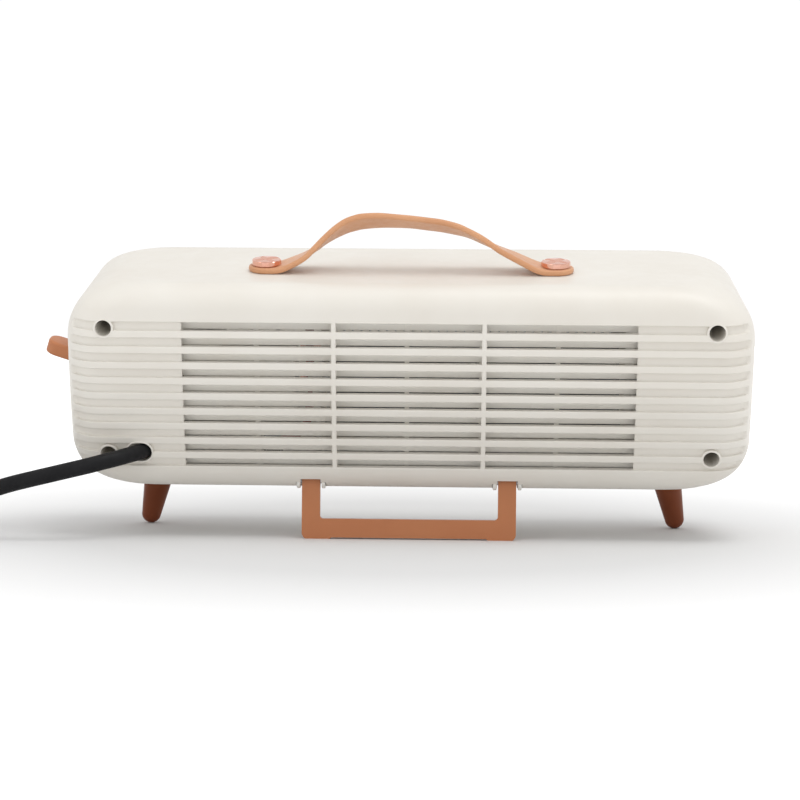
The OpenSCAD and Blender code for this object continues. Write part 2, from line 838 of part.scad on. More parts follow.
// Curved guide behind and over the fan, and the throat in front of it
module air_duct() {
    w = fan_x1 - fan_x0 + 6;
    stand_up() color("#d8d6d0") {
        intersection() {
            difference() {
                bar_x(fan_x0 - 3, fan_x0 - 3 + w, fan_s, fan_z, fan_r + 5);
                bar_x(fan_x0 - 4, fan_x0 - 2 + w, fan_s, fan_z, fan_r + 3);
            }
            block([-far, far], [fan_s - 2, ptc_s - 7.5], [fan_z - 40, fan_z]);
        }
        block([fan_x0 - 3, fan_x0 - 3 + w], [fan_s - 2, ptc_s - 7.5], [fan_z + fan_r + 3, fan_z + fan_r + 5]);
    }
}

// ---- heater ----

// Three fin banks with a ceramic row in each gap between them
bank_h = 11.2;
bank_pitch = 14.4;
electrode_offset = 1.2;
electrode_t = 0.5;
function electrode_z(side, edge) = ptc_z + side * bank_pitch / 2 + edge * electrode_offset;

module ptc_frame() {
    stand_up() color("#e8e2d2") difference() {
        block([ptc_x0 - 6, ptc_x1 + 6], [ptc_s - 7, ptc_s + 7], [ptc_z - 27, ptc_z + 27]);
        block([ptc_x0, ptc_x1], [ptc_s - 8, ptc_s + 8], [ptc_z - 21, ptc_z + 21]);
        for (side = [-1, 1], edge = [-1, 1])
            block([ptc_x1 - 1, ptc_x1 + 7], [ptc_s - 5.2, ptc_s + 5.2],
                [electrode_z(side, edge) - electrode_t, electrode_z(side, edge) + electrode_t]);
    }
}

module ptc_fins() {
    fin_count = 32;
    pitch = (ptc_x1 - ptc_x0 - 1) / fin_count;
    stand_up() color(aluminium) for (bank = [-1, 0, 1]) {
        z0 = ptc_z + bank * bank_pitch - bank_h / 2;
        for (z = [z0, z0 + bank_h - 0.8])
            block([ptc_x0 + 0.2, ptc_x1 - 0.2], [ptc_s - 6, ptc_s + 6], [z, z + 0.8]);
        for (i = [0:fin_count])
            block([ptc_x0 + 0.2 + i * pitch, ptc_x0 + 0.7 + i * pitch], [ptc_s - 6, ptc_s + 6],
                [z0 + 0.7, z0 + bank_h - 0.7]);
    }
}

module ptc_ceramics() {
    stone_count = 5;
    stone = 22;
    gap = 2.5;
    z = bank_pitch / 2;
    stand_up() color("#4a4644") for (side = [-1, 1], i = [0:stone_count - 1]) {
        x0 = ptc_x0 + 4 + i * (stone + gap);
        block([x0, x0 + stone], [ptc_s - 5.5, ptc_s + 5.5],
            [ptc_z + side * z - 0.9, ptc_z + side * z + 0.9]);
    }
}

module ptc_electrodes() {
    stand_up() color(copper) for (side = [-1, 1], edge = [-1, 1])
        block([ptc_x0 + 1, ptc_x1 + 16], [ptc_s - 5, ptc_s + 5],
            [electrode_z(side, edge) - electrode_t / 2, electrode_z(side, edge) + electrode_t / 2]);
}

module thermostat() {
    stand_up() color(aluminium) {
        translate([-20, -ptc_s, ptc_z + 27.05]) cylinder(r = 7, h = 5);
        block([-31, -9], [ptc_s - 3.5, ptc_s + 3.5], [ptc_z + 27.05, ptc_z + 27.9]);
        for (x = [-24, -16])
            block([x - 0.4, x + 0.4], [ptc_s - 2, ptc_s + 2], [ptc_z + 32, ptc_z + 36.5]);
    }
}

module thermal_fuse() {
    stand_up() color(steel) {
        bar_x(8, 20, ptc_s + 2, ptc_z + 29.3, 2.1);
        bar_x(2, 26, ptc_s + 2, ptc_z + 29.3, 0.5);
    }
}

// ---- power cord ----

module strain_relief() {
    neck = 4.6;
    stand_up() color(black_rubber) difference() {
        union() {
            translate([relief_x, -relief_s0, outlet_z]) rotate([-90, 0, 0])
                cylinder(r1 = 6.2, r2 = neck, h = relief_s0 - relief_s1);
            bar_y(relief_x, outlet_z, relief_s0 - 0.05, relief_s0 + 3, 7.4);
        }
        bar_y(relief_x, outlet_z, relief_s1 - 1, relief_s0 + 4, cord_r);
    }
}

module cord_clamp() {
    stand_up() color(milky_nylon) {
        block([relief_x - 12, relief_x + 12], [45, 53], [3.6, 16.4]);
        difference() {
            block([relief_x - 12, relief_x + 12], [45, 53], [16.45, 27]);
            bar_y(relief_x, outlet_z, 44, 54, cord_r);
        }
    }
}

module cord_lead() {
    on_floor() color(black_rubber) tube(smooth_path(lead_route, 2), cord_r, 8);
}

module cord_coil() {
    on_floor() color(black_rubber) translate([coil_x, coil_y, 0.01]) rotate_extrude($fn = 96)
        translate([coil_inner_r, 0]) square([coil_outer_r - coil_inner_r, coil_h]);
}

module coil_tie() {
    t = 1.2;
    gap = 0.05;
    mid_r = (coil_inner_r + coil_outer_r) / 2;
    w = coil_outer_r - coil_inner_r;
    on_floor() color("#3a3a3e") translate([coil_x - mid_r, coil_y, 0]) difference() {
        translate([-w / 2 - t - gap, -6, coil_h - 2]) cube([w + 2 * t + 2 * gap, 12, 2 + t + gap]);
        translate([-w / 2 - 0.2, -7, coil_h - 3]) cube([w + 0.6, 14, 3 + gap]);
    }
}

module cord_tail() {
    on_floor() color(black_rubber) tube(smooth_path(tail_route, 2), cord_r, 8);
}

module plug_body() {
    on_floor() color(black_rubber) translate([plug_x, plug_y, plug_z]) hull() {
        rotate([90, 0, 0]) cylinder(r = 4.6, h = 1, $fn = 32);
        for (x = [-1, 1]) {
            translate([x * 8, -14, 0]) rotate([90, 0, 0]) cylinder(r = 8, h = 2, $fn = 32);
            translate([x * 8.5, -36, 0]) rotate([90, 0, 0]) cylinder(r = 8.9, h = 4, $fn = 32);
        }
    }
}

module plug_pins() {
    on_floor() color(steel) for (x = [-1, 1])
        translate([plug_x + x * 9.5, plug_y - 40, plug_z]) rotate([90, 0, 0]) {
            cylinder(r = 2.4, h = 17.5);
            translate([0, 0, 17.4]) cylinder(r1 = 2.4, r2 = 1.4, h = 1.6);
        }
}

rear_housing();
front_frame();
front_grille();
rear_inner_louvre();
case_screws();
handle_strap();
handle_screws();
handle_nuts();
peg_leg_left();
peg_leg_right();
leg_studs();
leg_nuts();
stand();
stand_hinge_pins();
stand_hinge_bushes();
mode_lever();
lever_pivot_pin();
lever_bracket();
selector_switch();
control_box();
control_board();
terminal_block();
wiring_loom();
tip_over_switch();
fan_rotor();
fan_shaft();
motor_rotor();
motor_stator();
motor_bracket();
fan_bearing();
air_duct();
ptc_frame();
ptc_fins();
ptc_ceramics();
ptc_electrodes();
thermostat();
thermal_fuse();
strain_relief();
cord_clamp();
cord_lead();
cord_coil();
coil_tie();
cord_tail();
plug_body();
plug_pins();
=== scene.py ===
"""Looks of the ceramic space heater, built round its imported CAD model.

Sizes are in mm and become metres in place(), on_floor() or by MM. Materials and lights are in metres.
"""
import json
import math

import bmesh
import bpy
from mathutils import Matrix, Vector


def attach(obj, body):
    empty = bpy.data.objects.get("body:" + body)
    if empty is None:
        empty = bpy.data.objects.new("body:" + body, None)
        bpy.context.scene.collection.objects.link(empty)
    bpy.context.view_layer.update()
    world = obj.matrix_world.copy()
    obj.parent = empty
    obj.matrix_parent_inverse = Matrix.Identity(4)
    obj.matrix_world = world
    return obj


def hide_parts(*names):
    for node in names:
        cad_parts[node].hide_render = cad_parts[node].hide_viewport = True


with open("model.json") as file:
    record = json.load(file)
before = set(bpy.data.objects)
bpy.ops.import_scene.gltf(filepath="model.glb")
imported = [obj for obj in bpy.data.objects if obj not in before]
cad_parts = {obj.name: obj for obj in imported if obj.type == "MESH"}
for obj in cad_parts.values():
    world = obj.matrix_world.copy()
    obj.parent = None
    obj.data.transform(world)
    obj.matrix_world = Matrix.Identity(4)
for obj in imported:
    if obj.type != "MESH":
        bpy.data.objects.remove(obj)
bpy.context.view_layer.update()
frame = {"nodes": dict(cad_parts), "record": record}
NODES = frame["nodes"]
MM = 0.001

# ---- the body's own frame: x across, s depth from the rear crown, z up from its flat bottom, in mm ----

LEAN = math.radians(15)
SHIFT_X, SHIFT_Y, LIFT = -6.9, 33.2, 18.74
BODY_W, BODY_D, BODY_H = 300, 92.5, 94
CORNER_R, CROWN_R, FRONT_R, EDGE_R = 24, 235, 14, 15
REAR_TOP_R, REAR_BOTTOM_R = 12, 16
EDGE_GROWTH = 0.25
WALL = 3
SEAM_S, SEAM_GAP = 81, 0.3
ROWS, ROW_PITCH, FIRST_ROW_Z, ROW_H = 10, 6.86, 77, 3.8
SLOT_HALF, BAR_IN, BAR_OUT = 98.3, 31.5, 33.5
GROOVE_DEPTH, GROOVE_MARGIN, GROOVE_RUN = 1.5, 2.4, 2.2
LIP_DEPTH, BEVEL = 0.25, 0.3
CASE_SCREW_X, CASE_SCREW_Z, CASE_HOLE_R, CASE_SEAT_S = 132, (76, 19), 3.5, 58
OUTLET_X0, OUTLET_X1, OUTLET_R, OUTLET_Z = 117.1, 119.4, 4.2, 20


def place(x, s, z):
    """World position of a point given in the body's own frame."""
    return Vector((
        (x + SHIFT_X) * MM,
        (-s * math.cos(LEAN) + z * math.sin(LEAN) + SHIFT_Y) * MM,
        (s * math.sin(LEAN) + z * math.cos(LEAN) + LIFT) * MM,
    ))


def on_floor(x, y, z):
    """World position of a point given over the floor, before the shift to the middle."""
    return Vector(((x + SHIFT_X) * MM, (y + SHIFT_Y) * MM, z * MM))


def add_object(name, data):
    obj = bpy.data.objects.new(name, data)
    bpy.context.scene.collection.objects.link(obj)
    return obj


# ---- camera ----

def make_camera():
    """Nearly level, behind the heater, turned a little off its middle line."""
    lens, sensor = 88.225, 36
    pitch, yaw = math.radians(17.474), math.radians(1.799)
    eye = place(-21.685, -809.265, 300.44)
    ahead = Vector((math.sin(yaw) * math.cos(pitch), -math.cos(yaw) * math.cos(pitch), -math.sin(pitch)))
    right = Vector((-math.cos(yaw), -math.sin(yaw), 0))
    up = right.cross(ahead)
    axes = Matrix((right, up, -ahead)).transposed()
    data = bpy.data.cameras.new("camera")
    data.lens, data.sensor_width = lens, sensor
    data.clip_start, data.clip_end = 0.01, 50
    camera = add_object("camera", data)
    turn = Matrix.Rotation(-LEAN, 3, "X") @ axes
    camera.matrix_world = Matrix.Translation(eye) @ turn.to_4x4()
    bpy.context.scene.camera = camera


make_camera()


# ---- materials ----

def linear(red, green, blue):
    """Display colour from 0 to 255 as the shader's linear colour."""
    return tuple((c / 255 / 12.92 if c <= 10 else ((c / 255 + 0.055) / 1.055) ** 2.4)
                 for c in (red, green, blue)) + (1,)


class Surface:
    """A node material, put together step by step."""

    def __init__(self, name, colour, rough, metallic=0.0, specular=0.5):
        self.material = bpy.data.materials.new(name)
        self.material.use_nodes = True
        self.tree = self.material.node_tree
        self.shader = self.tree.nodes["Principled BSDF"]
        self.colour = linear(*colour)
        self.shader.inputs["Base Color"].default_value = self.colour
        self.shader.inputs["Roughness"].default_value = rough
        self.shader.inputs["Metallic"].default_value = metallic
        self.shader.inputs["Specular IOR Level"].default_value = specular
        self.place = self.tree.nodes.new("ShaderNodeTexCoord").outputs["Object"]

    def node(self, kind, **values):
        made = self.tree.nodes.new(kind)
        for key, value in values.items():
            setattr(made, key, value)
        return made

    def link(self, output, node, socket):
        self.tree.links.new(output, node.inputs[socket])

    def noise(self, scale, detail=3, stretch=None):
        """Noise over the object's own coordinates, which are metres."""
        made = self.node("ShaderNodeTexNoise")
        made.inputs["Scale"].default_value = scale
        made.inputs["Detail"].default_value = detail
        source = self.place
        if stretch:
            mapping = self.node("ShaderNodeMapping")
            mapping.inputs["Scale"].default_value = stretch
            self.link(source, mapping, "Vector")
            source = mapping.outputs["Vector"]
        self.link(source, made, "Vector")
        return made.outputs["Fac"]

    def ramp(self, source, low, high, start=0.35, stop=0.65):
        made = self.node("ShaderNodeMapRange")
        for key, value in (("From Min", start), ("From Max", stop), ("To Min", low), ("To Max", high)):
            made.inputs[key].default_value = value
        self.link(source, made, "Value")
        return made.outputs["Result"]

    def tint(self, source, other, start=0.35, stop=0.65):
        """Blends the base colour towards another one where the source is high."""
        mix = self.node("ShaderNodeMix", data_type="RGBA")
        mix.inputs["A"].default_value = self.colour
        mix.inputs["B"].default_value = linear(*other)
        self.link(self.ramp(source, 0, 1, start, stop), mix, "Factor")
        self.link(mix.outputs["Result"], self.shader, "Base Color")

    def roughness(self, source, low, high):
        self.link(self.ramp(source, low, high), self.shader, "Roughness")

    def bumps(self, *layers):
        """Each layer is a source and its depth in metres."""
        normal = None
        for source, depth in layers:
            bump = self.node("ShaderNodeBump")
            bump.inputs["Strength"].default_value = 1
            bump.inputs["Distance"].default_value = depth
            self.link(source, bump, "Height")
            if normal:
                self.link(normal, bump, "Normal")
            normal = bump.outputs["Normal"]
        self.link(normal, self.shader, "Normal")

    def cells(self, scale):
        made = self.node("ShaderNodeTexVoronoi", feature="DISTANCE_TO_EDGE")
        made.inputs["Scale"].default_value = scale
        self.link(self.place, made, "Vector")
        return made.outputs["Distance"]

    def away(self):
        """Distance from the object's own origin."""
        made = self.node("ShaderNodeVectorMath", operation="LENGTH")
        self.link(self.place, made, 0)
        return made.outputs["Value"]


def moulded(name, colour, other, rough=0.42, grain=2600, depth=0.00002, specular=0.4):
    """Moulded plastic: faint mottling, a fine spark-eroded grain and uneven gloss."""
    made = Surface(name, colour, rough, specular=specular)
    made.tint(made.noise(28, 4), other)
    made.roughness(made.noise(180, 3), rough - 0.05, rough + 0.07)
    made.bumps((made.noise(grain, 2), depth), (made.noise(40, 2), 0.00004))
    return made.material


def metal(name, colour, other, rough, grain=(1, 1, 30), depth=0.000006):
    made = Surface(name, colour, rough, metallic=1.0)
    made.tint(made.noise(90, 4), other)
    lines = made.noise(900, 3, stretch=grain)
    made.roughness(lines, rough * 0.8, rough * 1.3)
    made.bumps((lines, depth))
    return made.material


def leather(name, colour, other, rough):
    made = Surface(name, colour, rough, specular=0.35)
    made.shader.inputs["Sheen Weight"].default_value = 0.08
    made.tint(made.noise(60, 5), other)
    pores = made.cells(1500)
    made.roughness(made.noise(400, 3), rough - 0.06, rough + 0.08)
    made.bumps((pores, 0.00006), (made.noise(120, 3), 0.00008))
    return made.material


def rubber(name, colour, other):
    made = Surface(name, colour, 0.6, specular=0.2)
    made.tint(made.noise(70, 3), other)
    made.roughness(made.noise(300, 3), 0.5, 0.68)
    made.bumps((made.noise(1800, 2), 0.00003))
    return made.material


CREAM = moulded("cream_plastic", (228, 224, 216), (224, 219, 210), rough=0.4)
TAN = leather("tan_leather", (212, 158, 118), (202, 146, 106), 0.42)
ROSE = metal("rose_gold", (240, 190, 172), (236, 178, 158), 0.12, grain=(1, 1, 1), depth=0.000002)
TERRACOTTA = moulded("terracotta_plastic", (190, 125, 85), (185, 119, 80), rough=0.42, specular=0.3)
BROWN = moulded("brown_plastic", (132, 70, 42), (120, 62, 36), rough=0.4, specular=0.2)
STEEL = metal("steel", (196, 196, 200), (180, 180, 186), 0.3)
NYLON = moulded("milky_nylon", (236, 234, 228), (228, 226, 220), rough=0.35)
RUBBER = rubber("black_rubber", (26, 26, 28), (20, 20, 22))
DARK = moulded("dark_plastic", (44, 46, 50), (36, 38, 42), rough=0.4)
BOARD = moulded("board_green", (48, 112, 66), (40, 98, 58), rough=0.3)
RED = moulded("red_wire", (176, 42, 36), (160, 34, 30), rough=0.4)
GREY = moulded("fan_grey", (112, 116, 122), (102, 106, 112), rough=0.5)
ALUMINIUM = metal("aluminium", (206, 208, 212), (194, 196, 202), 0.32)
IVORY = moulded("heater_frame", (226, 220, 202), (218, 210, 190), rough=0.55)
CERAMIC = moulded("ceramic", (92, 86, 82), (78, 74, 70), rough=0.7)
COPPER = metal("copper", (214, 140, 104), (198, 124, 90), 0.3)
# The inner louvre is the cream plastic made near white as painted light, to brighten it where it sits in
# shade behind the slots.
LOUVRE_PAINTED_LIGHT = moulded("louvre_painted_light", (252, 249, 242), (248, 244, 236), rough=0.45)
SLOT_MATERIALS = {
    "cream_plastic": CREAM, "tan_leather": TAN, "rose_gold": ROSE, "terracotta_plastic": TERRACOTTA,
    "brown_plastic": BROWN, "steel": STEEL, "milky_nylon": NYLON, "black_rubber": RUBBER,
    "dark_plastic": DARK, "board_green": BOARD, "red_wire": RED, "fan_grey": GREY,
    "aluminium": ALUMINIUM, "heater_frame": IVORY, "ceramic": CERAMIC, "copper": COPPER,
}


# ---- pieces ----

def piece(name, points, faces, body, material, replaced=(), smooth_angle=35):
    """A mesh piece from points in metres. It rides on its body and may stand for CAD nodes."""
    mesh = bpy.data.meshes.new(name)
    mesh.from_pydata([tuple(p) for p in points], [], faces)
    mesh.validate()
    mesh.materials.append(material)
    return finish_piece(name, mesh, body, replaced, smooth_angle)


def face_outwards(mesh, weld=0):
    """Turns the faces outwards, after joining points closer than the weld distance."""
    made = bmesh.new()
    made.from_mesh(mesh)
    if weld:
        bmesh.ops.remove_doubles(made, verts=made.verts, dist=weld)
    bmesh.ops.recalc_face_normals(made, faces=made.faces)
    made.to_mesh(mesh)
    made.free()


def finish_piece(name, mesh, body, replaced=(), smooth_angle=35):
    """Smooth shading, then the body the piece rides on and the CAD nodes it stands for."""
    face_outwards(mesh)
    mesh.shade_smooth()
    mesh.set_sharp_from_angle(angle=math.radians(smooth_angle))
    obj = add_object(name, mesh)
    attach(obj, body)
    if replaced:
        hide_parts(*replaced)
    return obj


def spline(a, b, c, d, t):
    """Catmull-Rom point between b and c."""
    return 0.5 * (2 * b + (c - a) * t + (2 * a - 5 * b + 4 * c - d) * t * t
                  + (3 * b - a - 3 * c + d) * t * t * t)


def smooth_path(points, steps):
    last = len(points) - 1
    made = [
        spline(points[max(i - 1, 0)], points[i], points[i + 1], points[min(i + 2, last)], k / steps)
        for i in range(last) for k in range(steps)
    ]
    return made + [points[last]]


def rings_mesh(rings):
    """Points and faces of a closed skin through rings of equal length."""
    count = len(rings[0])
    points = [p for ring in rings for p in ring]
    faces = [
        (i * count + k, i * count + (k + 1) % count, (i + 1) * count + (k + 1) % count, (i + 1) * count + k)
        for i in range(len(rings) - 1) for k in range(count)
    ]
    faces.append(tuple(range(count)))
    faces.append(tuple((len(rings) - 1) * count + k for k in reversed(range(count))))
    return points, faces


def loop_mesh(rings):
    """Points and faces of a skin whose last ring joins its first."""
    total, count = len(rings), len(rings[0])
    points = [p for ring in rings for p in ring]
    faces = [
        (k * count + j, k * count + (j + 1) % count,
         (k + 1) % total * count + (j + 1) % count, (k + 1) % total * count + j)
        for k in range(total) for j in range(count)
    ]
    return points, faces


# ---- power cord ----

CORD_D = 7
LEAD_ROUTE = [
    (114, -10.3, 42.2), (114.6, -4.8, 40.7), (116.4, 0.7, 39.3), (119.3, 5.6, 38.2),
    (123, 9.7, 37.2), (127.5, 12.9, 36), (132.3, 15.1, 34.8), (138, 16.3, 33.3),
    (145, 16.5, 31.6), (154, 16.5, 29.4), (163, 16.4, 27.2), (172, 16.2, 24.9),
    (181, 16, 22.1), (190, 16, 18.9), (199, 16, 15.4), (208, 16, 11.8),
    (217, 16, 8.2), (226, 16, 5.2), (235, 16, 3.8), (245, 16, 3.6),
]
COIL_X, COIL_Y = 246, -23.5
COIL_R_IN, COIL_R_OUT = 32.5, 39.5
TAIL_ROUTE = [
    (285.5, -23.5, 17.6), (285.5, -31, 17.6), (285.2, -38.5, 17.1), (284.2, -46, 15.8),
    (282.4, -53.5, 13.8), (280, -60.5, 11.7), (277.3, -67.5, 10), (275, -74.5, 9.1),
    (273.7, -81.5, 9), (273.5, -88, 9),
]


def coil_points():
    """Turns side by side and on each other. Each move to the next place comes 330 degrees after the last."""
    places = [(COIL_R_OUT, 3.6), (COIL_R_IN, 3.6), (COIL_R_IN, 10.6), (COIL_R_OUT, 10.6),
              (COIL_R_IN, 17.6), (COIL_R_OUT, 17.6)]
    first_move, move_gap, move_width, total, step = 250, 320, 40, 90 + 5 * 360, 10
    made = []
    for turned in range(step, total, step):
        passed = (turned - first_move) / move_gap
        number = min(len(places) - 1, max(0, math.floor(passed) + 1))
        into = turned - first_move - (number - 1) * move_gap
        share = 1 if number == 0 else min(1, into / move_width)
        share = share * share * (3 - 2 * share)
        r0, z0 = places[max(0, number - 1)]
        r1, z1 = places[number]
        radius, height = r0 + (r1 - r0) * share, z0 + (z1 - z0) * share
        angle = math.radians(90 - turned)
        made.append((COIL_X + radius * math.cos(angle), COIL_Y + radius * math.sin(angle), height))
    return made


def make_cord():
    """The lead, the tied coil and the tail as one curve, and its middle line."""
    route = [on_floor(*p) for p in LEAD_ROUTE + coil_points() + TAIL_ROUTE]
    line = smooth_path(route, 4)
    curve = bpy.data.curves.new("power_cord", "CURVE")
    curve.dimensions = "3D"
    curve.bevel_depth = CORD_D / 2 * MM
    curve.bevel_resolution = 5
    curve.use_fill_caps = True
    track = curve.splines.new("POLY")
    track.points.add(len(line) - 1)
    for point, here in zip(track.points, line):
        point.co = (*here, 1)
    track.use_smooth = True
    curve.materials.append(RUBBER)
    cord = add_object("power_cord", curve)
    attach(cord, "root")
    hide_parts("cord_lead", "cord_coil", "cord_tail")
    return cord, line


power_cord, cord_line = make_cord()


# ---- body shell ----

CORNER_TOP_Z, CORNER_LOW_Z = BODY_H - CORNER_R, CORNER_R


def width_at(z, inset=0):
    """Half the body's width at a height."""
    over = max(z - CORNER_TOP_Z, CORNER_LOW_Z - z, 0)
    radius = CORNER_R - inset
    return BODY_W / 2 - CORNER_R + math.sqrt(max(0, radius ** 2 - over ** 2))


def rear_at(z, inset=0):
    """Depth of the rear surface on the middle line: the crown between its top and bottom fillets."""
    mid = BODY_H / 2
    for centre_z, fillet, side in ((BODY_H - REAR_TOP_R, REAR_TOP_R, 1), (REAR_BOTTOM_R, REAR_BOTTOM_R, -1)):
        centre_s = CROWN_R - math.sqrt((CROWN_R - fillet) ** 2 - (centre_z - mid) ** 2)
        touch = mid + (centre_z - mid) * (CROWN_R - inset) / (CROWN_R - fillet)
        if (z - touch) * side > 0:
            return centre_s - math.sqrt(max(0, (fillet - inset) ** 2 - (z - centre_z) ** 2))
    return CROWN_R - math.sqrt((CROWN_R - inset) ** 2 - (z - mid) ** 2)


def front_at(z, inset=0):
    """Depth of the front surface at a height."""
    over = max(z - (BODY_H - FRONT_R), FRONT_R - z, 0)
    return BODY_D - FRONT_R + math.sqrt(max(0, (FRONT_R - inset) ** 2 - over ** 2))


def edge_growth(z):
    """How much the plan corners' radius grows where the body gets narrower."""
    return EDGE_GROWTH * (BODY_W / 2 - width_at(z))


def surface_s(x, z):
    """Depth of the rear surface at any x, plan corner included."""
    radius = EDGE_R + edge_growth(z)
    over = abs(x) - (width_at(z) - radius)
    bend = radius - math.sqrt(max(0, radius ** 2 - over ** 2)) if over > 0 else 0
    return rear_at(z) + bend


def height_lines():
    """Heights of the sections, each with its groove number, its depth and how round its groove end is."""
    profile = ((-BEVEL, 0, 1.6), (0, LIP_DEPTH, 1.5), (0.06, GROOVE_DEPTH - LIP_DEPTH, 1.15),
               (0.36, GROOVE_DEPTH, 0.55), (1.2, GROOVE_DEPTH, 0.05))
    lines = []
    for i in range(ROWS):
        middle = FIRST_ROW_Z - i * ROW_PITCH
        for edge, into in ((middle - ROW_H / 2, 1), (middle + ROW_H / 2, -1)):
            for step, depth, end in profile:
                lines.append((edge + into * step, i if depth else None, depth, end))
    top = max(line[0] for line in lines)
    bottom = min(line[0] for line in lines)
    arc_top, arc_low = BODY_H - REAR_TOP_R, REAR_BOTTOM_R
    steps_top, steps_low, clear = 14, 18, 0.4
    extra = [arc_top + REAR_TOP_R * math.sin(math.radians(90 * k / steps_top)) for k in range(steps_top + 1)]
    extra += [top + (arc_top - top) / 2]
    extra += [arc_low - REAR_BOTTOM_R * math.sin(math.radians(90 * k / steps_low))
              for k in range(steps_low + 1)]
    lines += [(z, None, 0, 0) for z in extra if z > top + clear or z < bottom - clear]
    return sorted(lines)


GROOVE_STEPS = (-7, -5.4, -4, -3, -2.2, -1.6, -1.2, -0.85, -0.5, -0.25, 0, 0.5)
FLAT_X = (0, 10.7, 21.3, 31.2, BAR_IN, BAR_IN + BEVEL, BAR_OUT - BEVEL, BAR_OUT, 45, 57, 70, 84,
          SLOT_HALF - BEVEL, SLOT_HALF, SLOT_HALF + BEVEL, 104)
FULL_FLAT = 124
FLAT_SHARES = (0.25, 0.5, 0.75, 1)
REST_OF_CORNER = 6


def sunk_at(x, depth):
    """How far a groove sinks into the flat rear: not at all on the bars, a little more in the slots."""
    if BAR_IN < x < BAR_OUT:
        return 0
    if x in (BAR_IN, BAR_OUT):
        return min(depth, LIP_DEPTH)
    in_slot = x <= SLOT_HALF and depth == GROOVE_DEPTH
    return depth + (LIP_DEPTH if in_slot else 0)


def side_and_front(w, start_s, front, radius):
    """Points from the rear corner's end along the side and round to the front middle."""
    stop_s = front - radius
    made = [(w, start_s + (stop_s - start_s) * k / 6) for k in range(1, 7)]
    for k in range(1, 11):
        angle = math.radians(9 * k)
        made.append((w - radius + radius * math.cos(angle), stop_s + radius * math.sin(angle)))
    return made + [((w - radius) * (1 - k / 6), front) for k in range(1, 7)]


def half_section(z, depth, end):
    """Points (x, s) from the rear middle round one side to the front middle."""
    w, rear = width_at(z), rear_at(z)
    growth = edge_growth(z)
    radius = EDGE_R + growth
    flat = w - radius
    shrink = min(1, flat / FULL_FLAT)
    last_x = FLAT_X[-1] * shrink
    made = [(x * shrink, rear + sunk_at(x, depth)) for x in FLAT_X]
    made += [(last_x + (flat - last_x) * share, rear + depth) for share in FLAT_SHARES]
    groove_end = math.asin((radius - GROOVE_MARGIN) / radius)
    first_step = GROOVE_STEPS[0] / radius
    angles = [groove_end * k / 5 for k in range(1, 5)]
    angles = [a for a in angles if a < groove_end + first_step * 0.98][:2]
    while len(angles) < 2:
        angles.append(groove_end + first_step * (0.98 + 0.1 * len(angles)))
    angles = sorted(angles) + [groove_end + step / radius for step in GROOVE_STEPS]
    left = math.pi / 2 - angles[-1]
    angles += [angles[-1] + left * k / REST_OF_CORNER for k in range(1, REST_OF_CORNER + 1)]
    for angle in angles:
        run = min(1, max(0, ((groove_end - angle) * radius - end) / GROOVE_RUN))
        r = radius - depth * run * (2 - run)
        made.append((flat + r * math.sin(angle), rear + radius - r * math.cos(angle)))
    return made + side_and_front(w, rear + radius, front_at(z), FRONT_R + growth)


def inner_height(z):
    """Height of the inner wall's point that belongs to an outer one."""
    low, high = 14, 80
    if z > high:
        return high + (z - high) * (BODY_H - WALL - high) / (BODY_H - high)
    if z < low:
        return low - (low - z) * (low - WALL) / low
    return z


def inner_section(z):
    """Half section of the inner wall, with as many points as an outer one."""
    w, rear = width_at(z, WALL), rear_at(z, WALL)
    growth = edge_growth(min(max(z, 1), BODY_H - 1))
    radius = max(2, EDGE_R + growth - WALL)
    flat = w - radius
    shrink = min(1, flat / FULL_FLAT)
    last_x = FLAT_X[-1] * shrink
    made = [(x * shrink, rear) for x in FLAT_X]
    made += [(last_x + (flat - last_x) * share, rear) for share in FLAT_SHARES]
    arc_count = 2 + len(GROOVE_STEPS) + REST_OF_CORNER
    for k in range(1, arc_count + 1):
        angle = math.radians(90 * k / arc_count)
        made.append((flat + radius * math.sin(angle), rear + radius - radius * math.cos(angle)))
    front_radius = max(2, FRONT_R + growth - WALL)
    return made + side_and_front(w, rear + radius, front_at(z, WALL), front_radius)


